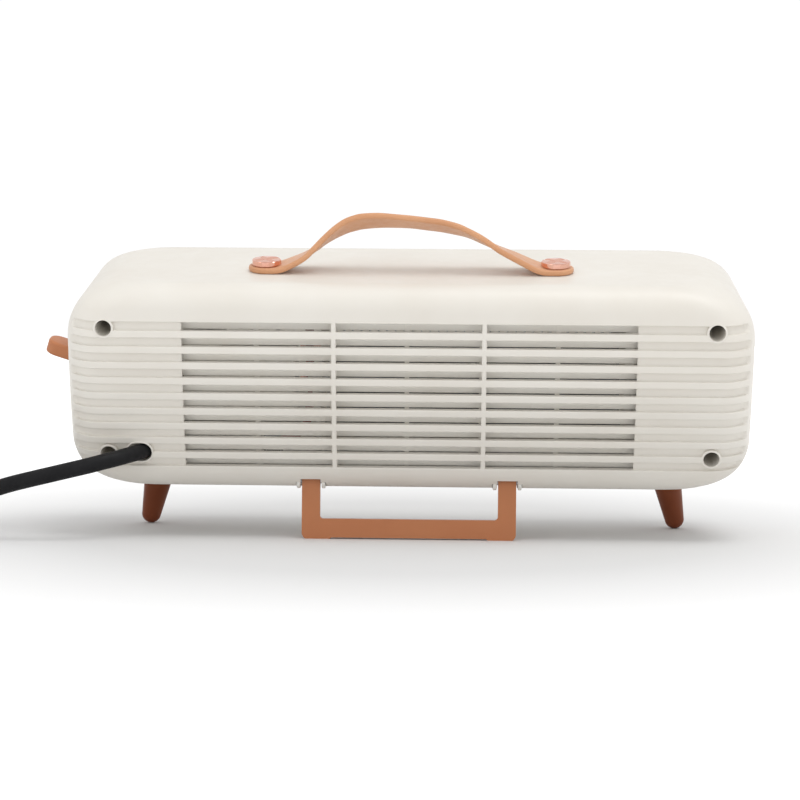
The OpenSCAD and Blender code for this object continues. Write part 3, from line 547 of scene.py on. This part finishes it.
def shell_mesh():
    """The whole closed body as one hollow skin, with its slots open."""
    sections = []
    for z, row, depth, end in height_lines():
        inner_z = inner_height(z)
        sections.append((z, inner_z, row, half_section(z, depth, end), inner_section(inner_z)))
    rows, count_half = len(sections), len(sections[0][3])
    ring = 2 * (count_half - 1)

    def whole(half):
        return half + [(-x, s) for x, s in half[-2:0:-1]]

    points = [place(x, s, z) for z, _, _, outer, _ in sections for x, s in whole(outer)]
    points += [place(x, s, inner_z) for _, inner_z, _, _, inner in sections for x, s in whole(inner)]

    def at(side, i, k):
        return side * rows * ring + i * ring + k % ring

    def is_open(i, k):
        """True where a slot goes through, between two section heights and two columns."""
        if sections[i][2] is None or sections[i][2] != sections[i + 1][2]:
            return False
        column = k if k < count_half - 1 else ring - 1 - k
        if column >= len(FLAT_X) - 1:
            return False
        x0, x1 = FLAT_X[column], FLAT_X[column + 1]
        return x1 <= BAR_IN or (x0 >= BAR_OUT and x1 <= SLOT_HALF)

    faces = []
    for i in range(rows - 1):
        for k in range(ring):
            if not is_open(i, k):
                faces.append((at(0, i, k), at(0, i, k + 1), at(0, i + 1, k + 1), at(0, i + 1, k)))
                faces.append((at(1, i + 1, k), at(1, i + 1, k + 1), at(1, i, k + 1), at(1, i, k)))
                continue
            for a, b, beyond in (((i, k), (i, k + 1), (i - 1, k)),
                                 ((i + 1, k + 1), (i + 1, k), (i + 1, k)),
                                 ((i + 1, k), (i, k), (i, (k - 1) % ring)),
                                 ((i, k + 1), (i + 1, k + 1), (i, (k + 1) % ring))):
                if not is_open(*beyond):
                    faces.append((at(0, *a), at(0, *b), at(1, *b), at(1, *a)))
    for side, flip in ((0, False), (1, True)):
        for i, up in ((0, False), (rows - 1, True)):
            loop = [at(side, i, k) for k in range(ring)]
            faces.append(tuple(loop if up != flip else reversed(loop)))
    return points, faces


def cut_at(points, faces, depth, keep_behind):
    """The part of the shell on one side of the seam plane, with its rim closed."""
    made = bmesh.new()
    verts = [made.verts.new(p) for p in points]
    for face in faces:
        made.faces.new([verts[i] for i in face])
    bmesh.ops.delete(made, geom=[v for v in made.verts if not v.link_faces], context="VERTS")
    direction = (place(0, 1, 0) - place(0, 0, 0)).normalized()
    bmesh.ops.bisect_plane(
        made, geom=made.verts[:] + made.edges[:] + made.faces[:], dist=1e-7,
        plane_co=place(0, depth, 0), plane_no=direction,
        clear_outer=keep_behind, clear_inner=not keep_behind,
    )
    rim = [e for e in made.edges if e.is_boundary]
    bmesh.ops.bridge_loops(made, edges=rim)
    return made


def prism(outline, along, start, stop):
    """A closed block whose outline is points in two body coordinates, pushed along the third."""
    def point(a, b, c):
        return {"s": place(a, c, b), "z": place(a, b, c), "x": place(c, a, b)}[along]
    rings = [[point(a, b, start) for a, b in outline], [point(a, b, stop) for a, b in outline]]
    return rings_mesh(rings)


def arc(cx, cy, r, start, stop, steps):
    return [(cx + r * math.cos(math.radians(start + (stop - start) * k / steps)),
             cy + r * math.sin(math.radians(start + (stop - start) * k / steps))) for k in range(steps + 1)]


def circle(cx, cy, r, steps):
    return arc(cx, cy, r, 0, 360, steps)[:-1]


def rounded(x0, x1, y0, y1, r, steps=6):
    """Outline of a rectangle with round corners."""
    return (arc(x1 - r, y1 - r, r, 0, 90, steps) + arc(x0 + r, y1 - r, r, 90, 180, steps)
            + arc(x0 + r, y0 + r, r, 180, 270, steps) + arc(x1 - r, y0 + r, r, 270, 360, steps))


def obround(x0, x1, z, r, steps=16):
    """Outline of a level slot with half-round ends."""
    return arc(x1, z, r, -90, 90, steps) + arc(x0, z, r, 90, 270, steps)


def join(*shapes):
    """Points and faces of several skins as one."""
    points, faces = [], []
    for more_points, more_faces in shapes:
        base = len(points)
        points += more_points
        faces += [tuple(base + i for i in face) for face in more_faces]
    return points, faces


def mesh_from(name, points, faces, material=None, weld=0):
    mesh = bpy.data.meshes.new(name)
    mesh.from_pydata([tuple(p) for p in points], [], faces)
    if material:
        mesh.materials.append(material)
    face_outwards(mesh, weld)
    return mesh


def carve(mesh, shapes):
    """Cuts closed blocks, which don't touch each other, out of a mesh."""
    block = add_object("cutter", mesh_from("cutter", *join(*shapes)))
    body = add_object("carved", mesh)
    cut = body.modifiers.new("cut", "BOOLEAN")
    cut.operation, cut.solver, cut.object = "DIFFERENCE", "EXACT", block
    graph = bpy.context.evaluated_depsgraph_get()
    result = bpy.data.meshes.new_from_object(body.evaluated_get(graph))
    for obj in (body, block):
        data = obj.data
        bpy.data.objects.remove(obj)
        bpy.data.meshes.remove(data)
    return result


def across_depth(x, s, z, follows):
    """A point at a depth of its own, or at a depth from the rear surface."""
    return place(x, s + (surface_s(x, z) if follows else 0), z)


def tube_round(x, z, profile, steps=48):
    """A ring lathed about a line in depth. Its profile is (radius, depth, follows the rear surface)."""
    rings = []
    for k in range(steps):
        angle = 2 * math.pi * k / steps
        rings.append([across_depth(x + r * math.cos(angle), s, z + r * math.sin(angle), follows)
                      for r, s, follows in profile])
    return loop_mesh(rings)


def outlet_rim(steps=18):
    """A raised lip round the cord outlet that follows the rear surface."""
    profile = ((0, 3, False), (0, -0.1, True), (0.15, -0.3, True), (0.55, -0.3, True), (0.75, -0.1, True),
               (0.75, 3, False))
    loops = [obround(OUTLET_X0, OUTLET_X1, OUTLET_Z, OUTLET_R + grow, steps) for grow, _, _ in profile]
    return loop_mesh([
        [across_depth(loop[k][0], s, loop[k][1], follows) for loop, (_, s, follows) in zip(loops, profile)]
        for k in range(len(loops[0]))
    ])


STAND_W, STAND_ARM_W, STAND_GAP = 95, 8, 0.5
STAND_AXIS_S, STAND_AXIS_Z, STAND_REACH = 10.2, 4.4, 26
STAND_BAR_H, STAND_PAD_DROP = 8.25, 0.95
BUSH_R, BUSH_W = 3.4, 1.7
RECESS_TOP_Z, RECESS_CLEAR = 6.9, 1.5
TUBE_ROOM = 0.4
LEVER_SLOT = (37.5, 52.5, 38.1, 59.1)
FRONT_OPENING = (-128, 128, 14, 80)
ARM_X = (STAND_W - STAND_ARM_W) / 2


def recess_outline(grow, start_s):
    """Plan outline of the stand's recess: two arms and the bar between them."""
    inner, outer = ARM_X - STAND_ARM_W / 2 - STAND_GAP - grow, STAND_W / 2 + STAND_GAP + grow
    bar_stop = STAND_AXIS_S + STAND_REACH + RECESS_CLEAR + grow
    bar_start = bar_stop - STAND_BAR_H - STAND_PAD_DROP - 2 * RECESS_CLEAR - 2 * grow
    return [(outer, start_s), (outer, bar_stop), (-outer, bar_stop), (-outer, start_s),
            (-inner, start_s), (-inner, bar_start), (inner, bar_start), (inner, start_s)]


def hinge_bore(side):
    """The bore for the bushes on both sides of one arm."""
    reach = STAND_ARM_W / 2 + BUSH_W + 2 * STAND_GAP
    outline = circle(STAND_AXIS_S, STAND_AXIS_Z, BUSH_R + 0.1, 32)
    return prism(outline, "x", side * ARM_X - reach, side * ARM_X + reach)


def merged(name, meshes, material):
    """One mesh of several, each a closed skin of its own."""
    made = bmesh.new()
    for mesh in meshes:
        made.from_mesh(mesh)
        bpy.data.meshes.remove(mesh)
    result = bpy.data.meshes.new(name)
    made.to_mesh(result)
    made.free()
    result.materials.append(material)
    return result


def make_shells():
    """The rear housing with its holes, tubes and recess liner, and the front frame with its opening."""
    points, faces = shell_mesh()
    shells = []
    for name, side in (("rear", -1), ("front", 1)):
        made = cut_at(points, faces, SEAM_S + side * SEAM_GAP / 2, side < 0)
        bmesh.ops.recalc_face_normals(made, faces=made.faces)
        mesh = bpy.data.meshes.new(name)
        made.to_mesh(mesh)
        made.free()
        mesh.materials.append(CREAM)
        shells.append(mesh)
    rear, front = shells
    screw_places = [(x, z) for x in (-CASE_SCREW_X, CASE_SCREW_X) for z in CASE_SCREW_Z]
    screw_holes = [prism(circle(x, z, CASE_HOLE_R + TUBE_ROOM, 40), "s", -5, 12) for x, z in screw_places]
    outlet = prism(obround(OUTLET_X0, OUTLET_X1, OUTLET_Z, OUTLET_R + TUBE_ROOM), "s", -3, 12)
    lever_slot = prism(rounded(*LEVER_SLOT, 2.5), "x", BODY_W / 2 - 6, BODY_W / 2 + 5)
    recess = prism(recess_outline(0, -2), "z", -2, RECESS_TOP_Z)
    rear = carve(rear, screw_holes + [outlet, lever_slot])
    rear = carve(rear, [recess])
    rear = carve(rear, [hinge_bore(-1), hinge_bore(1)])
    front = carve(front, [prism(rounded(*FRONT_OPENING, 12), "s", SEAM_S + 5, BODY_D + 5)])
    seat = CASE_SEAT_S
    tube = ((CASE_HOLE_R, 0.12, True), (CASE_HOLE_R + 0.12, 0, True), (4.2, -0.02, True), (4.45, 0.15, True),
            (4.45, 1.2, True), (5.6, 6, False), (5.6, seat + 3, False), (1.9, seat + 3, False),
            (1.9, seat, False), (CASE_HOLE_R, seat, False))
    skins = [tube_round(x, z, tube) for x, z in screw_places] + [outlet_rim()]
    tubes = mesh_from("tubes", *join(*skins), CREAM)
    liner = mesh_from("liner", *prism(recess_outline(2, 10.3), "z", 3.9, RECESS_TOP_Z + 2.5), CREAM)
    liner = carve(liner, [recess])
    return merged("rear_shell", [rear, tubes, liner], CREAM), front


rear_mesh, front_mesh = make_shells()
rear_shell = finish_piece("rear_shell", rear_mesh, "root", ("rear_housing",), 40)
front_shell = finish_piece("front_shell", front_mesh, "root", ("front_frame",), 40)
for shell in (rear_shell, front_shell):
    weighted = shell.modifiers.new("even_normals", "WEIGHTED_NORMAL")
    weighted.keep_sharp = True


# ---- handle ----

STRAP_SCREW_X, STRAP_S, STRAP_W, STRAP_T = 64, 36, 16, 2.5
# The strap's middle line as (x, height over the case, tilt in degrees).
STRAP_LINE = [
    (-60.5, 1.31, 0), (-59, 1.42, 0), (-57.6, 1.7, 0), (-55.6, 2.3, 0), (-52.4, 3.7, 1),
    (-48.9, 5.4, 2.5), (-45.4, 7.1, 4), (-41.9, 8.7, 6.5), (-38.4, 10.4, 9.5), (-35, 12.4, 13.5),
    (-31.3, 14.5, 17), (-27.8, 16.3, 18.5), (-24.3, 17.8, 20.3), (-20.8, 19, 23.5), (-13.8, 20.6, 25.5),
    (-6.8, 21.5, 25.8), (0.2, 22.3, 25.8), (7.2, 22.7, 27.3), (14.2, 22.9, 29.6), (21.3, 22.4, 30.8),
    (24.8, 21.6, 30.6), (28.3, 20.4, 29.3), (31.8, 18.5, 26.4), (35.3, 16.1, 21.6), (38.8, 13.3, 16.5),
    (42.3, 10.1, 12.5), (45.8, 7.3, 6.5), (49.3, 5.2, 3), (52.8, 3.6, 1), (55.8, 2.3, 0),
    (57.7, 1.7, 0), (59, 1.42, 0), (60.5, 1.31, 0),
]
STRAP_ROUND = 0.95
STRAP_END_LEVEL = STRAP_LINE[0][1]


def strap_outline():
    """The strap's cross-section as (side, level, inset of the edge)."""
    flat, half = STRAP_T / 2 - STRAP_ROUND, STRAP_T / 2
    edge = []
    for k in range(7):
        angle = math.radians(90 - 30 * k)
        edge.append((flat * (1 if k < 3 else -1 if k > 3 else 0) + STRAP_ROUND * math.sin(angle),
                     STRAP_ROUND * (1 - math.cos(angle))))
    shares = (0.7, 0.35, 0, -0.35, -0.7)
    points = [(1, level, inset) for level, inset in edge]
    points += [(share, -half, STRAP_ROUND) for share in shares]
    points += [(-1, level, inset) for level, inset in reversed(edge)]
    points += [(-share, half, STRAP_ROUND) for share in shares]
    return points


def make_strap():
    """The strap skinned through rings: a round end, the arc between the screws and the other round end."""
    outline = strap_outline()
    line = smooth_path([Vector(p) for p in STRAP_LINE], 4)
    turns, turn_angle, flat_x = 12, 7.5, 62

    def end_ring(x, angle):
        ring = []
        for side, level, inset in outline:
            reach = STRAP_W / 2 - inset
            over = math.copysign(reach * math.sin(angle), x)
            ring.append(place(x + over, STRAP_S - side * reach * math.cos(angle),
                              BODY_H + STRAP_END_LEVEL + level))
        return ring

    def arc_ring(i):
        here = line[i]
        step = line[min(i + 1, len(line) - 1)] - line[max(i - 1, 0)]
        slope, tilt = math.atan2(step.y, step.x), math.radians(here.z)
        out = (-math.sin(slope), math.sin(tilt) * math.cos(slope), math.cos(tilt) * math.cos(slope))
        ring = []
        for side, level, inset in outline:
            across = side * (STRAP_W / 2 - inset)
            ring.append(place(here.x + out[0] * level,
                              STRAP_S - math.cos(tilt) * across + out[1] * level,
                              BODY_H + here.y + math.sin(tilt) * across + out[2] * level))
        return ring

    rings = [end_ring(-STRAP_SCREW_X, math.radians(turn_angle * turn)) for turn in range(turns, 0, -1)]
    rings += [end_ring(x, 0) for x in (-STRAP_SCREW_X, -flat_x)]
    rings += [arc_ring(i) for i in range(len(line))]
    rings += [end_ring(x, 0) for x in (flat_x, STRAP_SCREW_X)]
    rings += [end_ring(STRAP_SCREW_X, math.radians(turn_angle * turn)) for turn in range(1, turns + 1)]
    mesh = mesh_from("strap", *rings_mesh(rings), TAN, weld=1e-6)
    holes = [prism(circle(x, STRAP_S, 2.1, 24), "z", BODY_H - 2, BODY_H + 5)
             for x in (-STRAP_SCREW_X, STRAP_SCREW_X)]
    mesh = carve(mesh, holes)
    mesh.name = "strap"
    return finish_piece("leather_strap", mesh, "root", ("handle_strap",), 50)


def screw_head(x, turn):
    """A low faceted head whose top has two crossing valleys between four raised lobes."""
    facets, steps, radius = 14, 112, 6.45
    crown, crown_drop, valley_depth, rim_drop = 2.75, 0.25, 0.9, 0.12
    base = BODY_H + STRAP_T + 0.1

    def top(r, angle):
        u, v = abs(r * math.cos(angle - turn)), abs(r * math.sin(angle - turn))
        valley = valley_depth * max(0, 1 - min(u / 1.9, v / 1.3)) * (1 - (r / radius) ** 4)
        return crown - crown_drop * (r / radius) ** 2 - valley

    profile = [(5.5, 0, 0), (5.8, 0, 0), (5.9, 0.25, 0), (radius, 0.4, 1), (radius, 1.2, 1), (radius, 2.2, 1)]
    angles = [2 * math.pi * k / steps for k in range(steps)]
    rings = []
    for r, height, faceted in profile:
        ring = []
        for angle in angles:
            turned = angle % (2 * math.pi / facets) - math.pi / facets
            reach = r * (math.cos(math.pi / facets) / math.cos(turned) if faceted else 1)
            level = min(height, top(r, angle) - rim_drop)
            ring.append(place(x + reach * math.cos(angle), STRAP_S + reach * math.sin(angle), base + level))
        rings.append(ring)
    for r in [6.15 - 0.36 * k for k in range(18)]:
        rings.append([place(x + r * math.cos(angle), STRAP_S + r * math.sin(angle), base + top(r, angle))
                      for angle in angles])
    shank = prism(circle(x, STRAP_S, 2, 32), "z", BODY_H - WALL - 6, base + 0.05)
    return join(rings_mesh(rings), shank)


def make_screws():
    points, faces = join(screw_head(-STRAP_SCREW_X, math.radians(38)),
                         screw_head(STRAP_SCREW_X, math.radians(57)))
    return piece("rose_screws", points, faces, "root", ROSE, ("handle_screws",), 14)


make_strap()
make_screws()


# ---- lever ----

LEVER_X, LEVER_S, LEVER_Z, LEVER_TILT = 138, 45, 48.6, math.radians(18.5)
LEVER_DROP = 0.6


def make_lever():
    """A flat paddle with round corners and edges, bored for its pin."""
    length, half_w, thick, root, corner, round_r = 28.6, 6, 6.4, 4.4, 4.6, 1.1
    outline = [(-root, -half_w + 1), (-root + 1, -half_w)]
    outline += arc(length - corner, -half_w + corner, corner, -90, 0, 10)
    outline += arc(length - corner, half_w - corner, corner, 0, 90, 10)
    outline += [(-root + 1, half_w), (-root, half_w - 1)]
    quarter = [math.radians(15 * k) for k in range(7)]
    curve = [(round_r * (1 - math.cos(angle)), round_r * (1 - math.sin(angle))) for angle in quarter]
    low = -thick / 2 - LEVER_DROP
    levels = [(low + rise, inset) for rise, inset in curve]
    levels += [(low + thick - rise, inset) for rise, inset in reversed(curve)]
    middle = (length - half_w - root) / 2
    rings = []
    for level, inset in levels:
        scale_x, scale_s = 1 - inset / (length / 2 + root), 1 - inset / half_w
        ring = []
        for along, across in outline:
            out = middle + (along - middle) * scale_x
            ring.append(place(LEVER_X + out * math.cos(LEVER_TILT) - level * math.sin(LEVER_TILT),
                              LEVER_S + across * scale_s,
                              LEVER_Z + out * math.sin(LEVER_TILT) + level * math.cos(LEVER_TILT)))
        rings.append(ring)
    mesh = mesh_from("lever", *rings_mesh(rings), TERRACOTTA)
    bore = prism(circle(LEVER_X, LEVER_Z, 1.55, 32), "s", LEVER_S - 8, LEVER_S + 8)
    mesh = carve(mesh, [bore])
    mesh.name = "lever"
    return finish_piece("paddle_lever", mesh, "lever", ("mode_lever",), 40)


make_lever()


# ---- strain relief, outlet grille, plug and tie ----

def make_strain_relief():
    """A ribbed sleeve that narrows towards the outlet, with a flange at its root."""
    start, stop, neck, root, bore = 16, 40, 4.6, 6.2, 3.52
    outline = [(bore, start), (neck - 0.3, start)]
    for k in range(8):
        s = start + 0.4 + k * 3
        r = neck + (root - neck) * (s - start) / (stop - start)
        outline += [(r, s), (r, s + 1.7), (r - 0.6, s + 2), (r - 0.6, s + 2.7)]
    outline += [(root, stop - 0.2), (7.2, stop), (7.4, stop + 0.3), (7.4, stop + 2.7), (7.1, stop + 3),
                (bore, stop + 3)]
    points, faces = tube_round(114, OUTLET_Z, [(r, s, False) for r, s in outline])
    piece("ribbed_relief", points, faces, "root", RUBBER, ("strain_relief",), 30)


def make_front_grille():
    """A bezel round the outlet with fins that rise towards the front, on three uprights."""
    half, low, high, corner = BODY_W / 2 - 22.3, 14.3, BODY_H - 14.3, 11.7
    steps = [(0, 8), (0, 1.9), (0.25, 1.55), (0.7, 1.5), (2.1, 1.5), (2.4, 1.75), (2.5, 2.2), (2.5, 8)]
    loops = [rounded(-half + inset, half - inset, low + inset, high - inset, corner - inset, 10)
             for inset, _ in steps]
    shapes = [loop_mesh([
        [place(loop[k][0], BODY_D - behind, loop[k][1]) for loop, (_, behind) in zip(loops, steps)]
        for k in range(len(loops[0]))
    ])]
    fins, rise = 9, math.radians(32)
    gap = (high - low - 4) / fins
    section = rounded(-3.4, 3.4, -0.85, 0.85, 0.8, 4)
    for i in range(1, fins):
        z = low + 2 + i * gap
        turned = [(BODY_D - 4.9 + a * math.cos(rise) - b * math.sin(rise),
                   z + a * math.sin(rise) + b * math.cos(rise)) for a, b in section]
        shapes.append(prism(turned, "x", -half + 2, half - 2))
    for x in (-64, 0, 64):
        upright = rounded(x - 0.9, x + 0.9, low + 2, high - 2, 0.3, 2)
        shapes.append(prism(upright, "s", BODY_D - 8.2, BODY_D - 5.6))
    points, faces = join(*shapes)
    piece("outlet_grille", points, faces, "root", CREAM, ("front_grille",), 35)


def super_ring(half_w, half_h, power, steps=56):
    """Points (x, z) of a rounded box outline; power 2 is an ellipse."""
    made = []
    for k in range(steps):
        angle = 2 * math.pi * k / steps
        c, s = math.cos(angle), math.sin(angle)
        x, z = math.copysign(abs(c) ** (2 / power), c), math.copysign(abs(s) ** (2 / power), s)
        made.append((half_w * x, half_h * z))
    return made


PLUG_X, PLUG_Y, PLUG_Z = 273.5, -88, 9


def make_plug():
    """A moulded two-pin plug: ribbed neck, waisted grip with ridges, flat face."""
    # Each station is (distance from the cord's end, half width, half height, how square).
    stations = [(0, 3.7, 3.7, 2), (0.4, 4.3, 4.3, 2), (1, 4.6, 4.6, 2)]
    for k in range(4):
        y, r = 1.6 + 2.4 * k, 5.0 + 0.55 * k
        stations += [(y, r, r * 0.97, 2), (y + 1.2, r + 0.1, r, 2),
                     (y + 1.4, r - 0.6, r - 0.7, 2), (y + 2.1, r - 0.5, r - 0.6, 2)]
    stations += [(11.6, 7.6, 6.6, 2.2), (13, 11.5, 7.2, 2.5), (14.5, 14.2, 7.6, 2.8), (16.5, 15.4, 7.8, 3)]
    for k in range(5):
        y = 18.2 + 2.8 * k
        stations += [(y, 15.5, 7.7, 3.2), (y + 1.3, 15.5, 7.7, 3.2),
                     (y + 1.6, 15, 7.2, 3.2), (y + 2.4, 15, 7.2, 3.2)]
    stations += [(32.6, 15.8, 8, 3.4), (34.5, 17, 8.6, 3.6), (36, 17.3, 8.8, 3.8), (38.8, 17.3, 8.8, 3.8),
                 (39.6, 17, 8.5, 3.8), (40, 16.4, 7.9, 3.8)]
    rings = [
        [on_floor(PLUG_X + x, PLUG_Y - y, PLUG_Z + z) for x, z in super_ring(w, h, power)]
        for y, w, h, power in stations
    ]
    points, faces = rings_mesh(rings)
    return piece("moulded_plug", points, faces, "root", RUBBER, ("plug_body",), 32)


def make_tie():
    """A soft band over the coil, its ends bent down both sides."""
    mid_r, half_w, top, thick = (COIL_R_IN + COIL_R_OUT) / 2, 7.08, 21.18, 1.1
    low, corner, band = 3, 2.5, 6
    reach, crest = half_w + thick / 2, top + thick / 2
    line = [(-reach, low), (-reach, (low + top) / 2)]
    line += arc(-reach + corner, crest - corner, corner, 180, 90, 6)
    line += [(0, crest)]
    line += arc(reach - corner, crest - corner, corner, 90, 0, 6)
    line += [(reach, (low + top) / 2), (reach, low)]
    rings = []
    for i, (x, z) in enumerate(line):
        ax, az = line[max(i - 1, 0)]
        bx, bz = line[min(i + 1, len(line) - 1)]
        length = math.hypot(bx - ax, bz - az)
        nx, nz = -(bz - az) / length, (bx - ax) / length
        rings.append([
            on_floor(COIL_X - mid_r + x + nx * out, COIL_Y + across, z + nz * out)
            for across, out in rounded(-band, band, -thick / 2, thick / 2, thick * 0.45, 3)
        ])
    points, faces = rings_mesh(rings)
    return piece("cord_tie", points, faces, "root", DARK, ("coil_tie",), 40)


make_strain_relief()
make_front_grille()
moulded_plug = make_plug()
cord_tie = make_tie()


# ---- everything else of the CAD model keeps its shape ----

def edge_rounding(obj, width_mm):
    """Small round edges on a CAD node, by modifiers only."""
    weld = obj.modifiers.new("weld", "WELD")
    weld.merge_threshold = 0.000002
    bevel = obj.modifiers.new("bevel", "BEVEL")
    bevel.width, bevel.segments = width_mm * MM, 2
    bevel.limit_method, bevel.angle_limit = "ANGLE", math.radians(35)
    bevel.harden_normals = False


slot_of = {row["node"]: row["material_slot"] for row in frame["record"]["subparts"]}
ROUNDED = {
    "stand": 0.5, "control_box": 0.4, "rear_inner_louvre": 0.15, "ptc_frame": 0.4,
    "terminal_block": 0.3, "motor_bracket": 0.3, "selector_switch": 0.3,
    "stand_hinge_bushes": 0.5,
}
for name, obj in NODES.items():
    obj.data.materials.clear()
    obj.data.materials.append(SLOT_MATERIALS[slot_of[name]])
    if name in ROUNDED:
        edge_rounding(obj, ROUNDED[name])
# The louvre gets the near-white copy of the cream: painted light against the shade in the slots.
NODES["rear_inner_louvre"].data.materials[0] = LOUVRE_PAINTED_LIGHT


# ---- floor and light ----

def make_floor():
    """A pale floor, greyer near the object as painted shade, that turns to plain white away from the object
    with a painted glow.
    """
    half = 6
    corners = [(-half, -half, 0), (half, -half, 0), (half, half, 0), (-half, half, 0)]
    mesh = bpy.data.meshes.new("floor")
    mesh.from_pydata(corners, [], [(0, 1, 2, 3)])
    floor = add_object("floor", mesh)
    surface = Surface("floor_painted_shade_glow", (222, 222, 222), 0.85, specular=0.05)
    away = surface.away()
    # Painted shade: the floor is grey round and under the object and whitens with distance from it.
    surface.tint(away, (252, 252, 252), 0.15, 0.5)
    surface.shader.inputs["Emission Color"].default_value = (1, 1, 1, 1)
    # Painted glow: the floor emits more light the further it is from the object, though it is no lamp.
    surface.link(surface.ramp(away, 0, 0.45, 0.14, 0.55), surface.shader, "Emission Strength")
    mesh.materials.append(surface.material)


def area_light(name, where, target, size, power):
    data = bpy.data.lights.new(name, "AREA")
    data.shape, data.size, data.energy = "DISK", size, power
    light = add_object(name, data)
    light.location = where
    light.rotation_mode = "QUATERNION"
    light.rotation_quaternion = (Vector(target) - Vector(where)).to_track_quat("-Z", "Y")


def make_light():
    """Bright beyond the object, dimmer on the camera's side and overhead, with a soft key and a weak fill."""
    world = bpy.data.worlds.new("studio")
    bpy.context.scene.world = world
    world.use_nodes = True
    tree = world.node_tree
    sky = tree.nodes["Background"]
    sky.inputs["Color"].default_value = (1, 1, 1, 1)
    direction = tree.nodes.new("ShaderNodeTexCoord")
    parts = tree.nodes.new("ShaderNodeSeparateXYZ")
    horizon, height = tree.nodes.new("ShaderNodeMapRange"), tree.nodes.new("ShaderNodeMapRange")
    for node, values in ((horizon, (-0.95, -0.5, 1.03, 0.66)), (height, (0.15, 0.6, 1, 0.86))):
        for key, value in zip(("From Min", "From Max", "To Min", "To Max"), values):
            node.inputs[key].default_value = value
    tree.links.new(direction.outputs["Generated"], parts.inputs["Vector"])
    tree.links.new(parts.outputs["Y"], horizon.inputs["Value"])
    tree.links.new(parts.outputs["Z"], height.inputs["Value"])
    tree.links.new(horizon.outputs["Result"], height.inputs["To Min"])
    tree.links.new(height.outputs["Result"], sky.inputs["Strength"])
    centre = (0, 0, 0.07)
    area_light("key", (-0.4, 0.45, 1.45), centre, 0.8, 7)
    area_light("fill", (0.9, 1.1, 0.7), centre, 1.0, 1.5)
    bpy.context.scene.view_settings.view_transform = "Standard"


make_floor()
make_light()
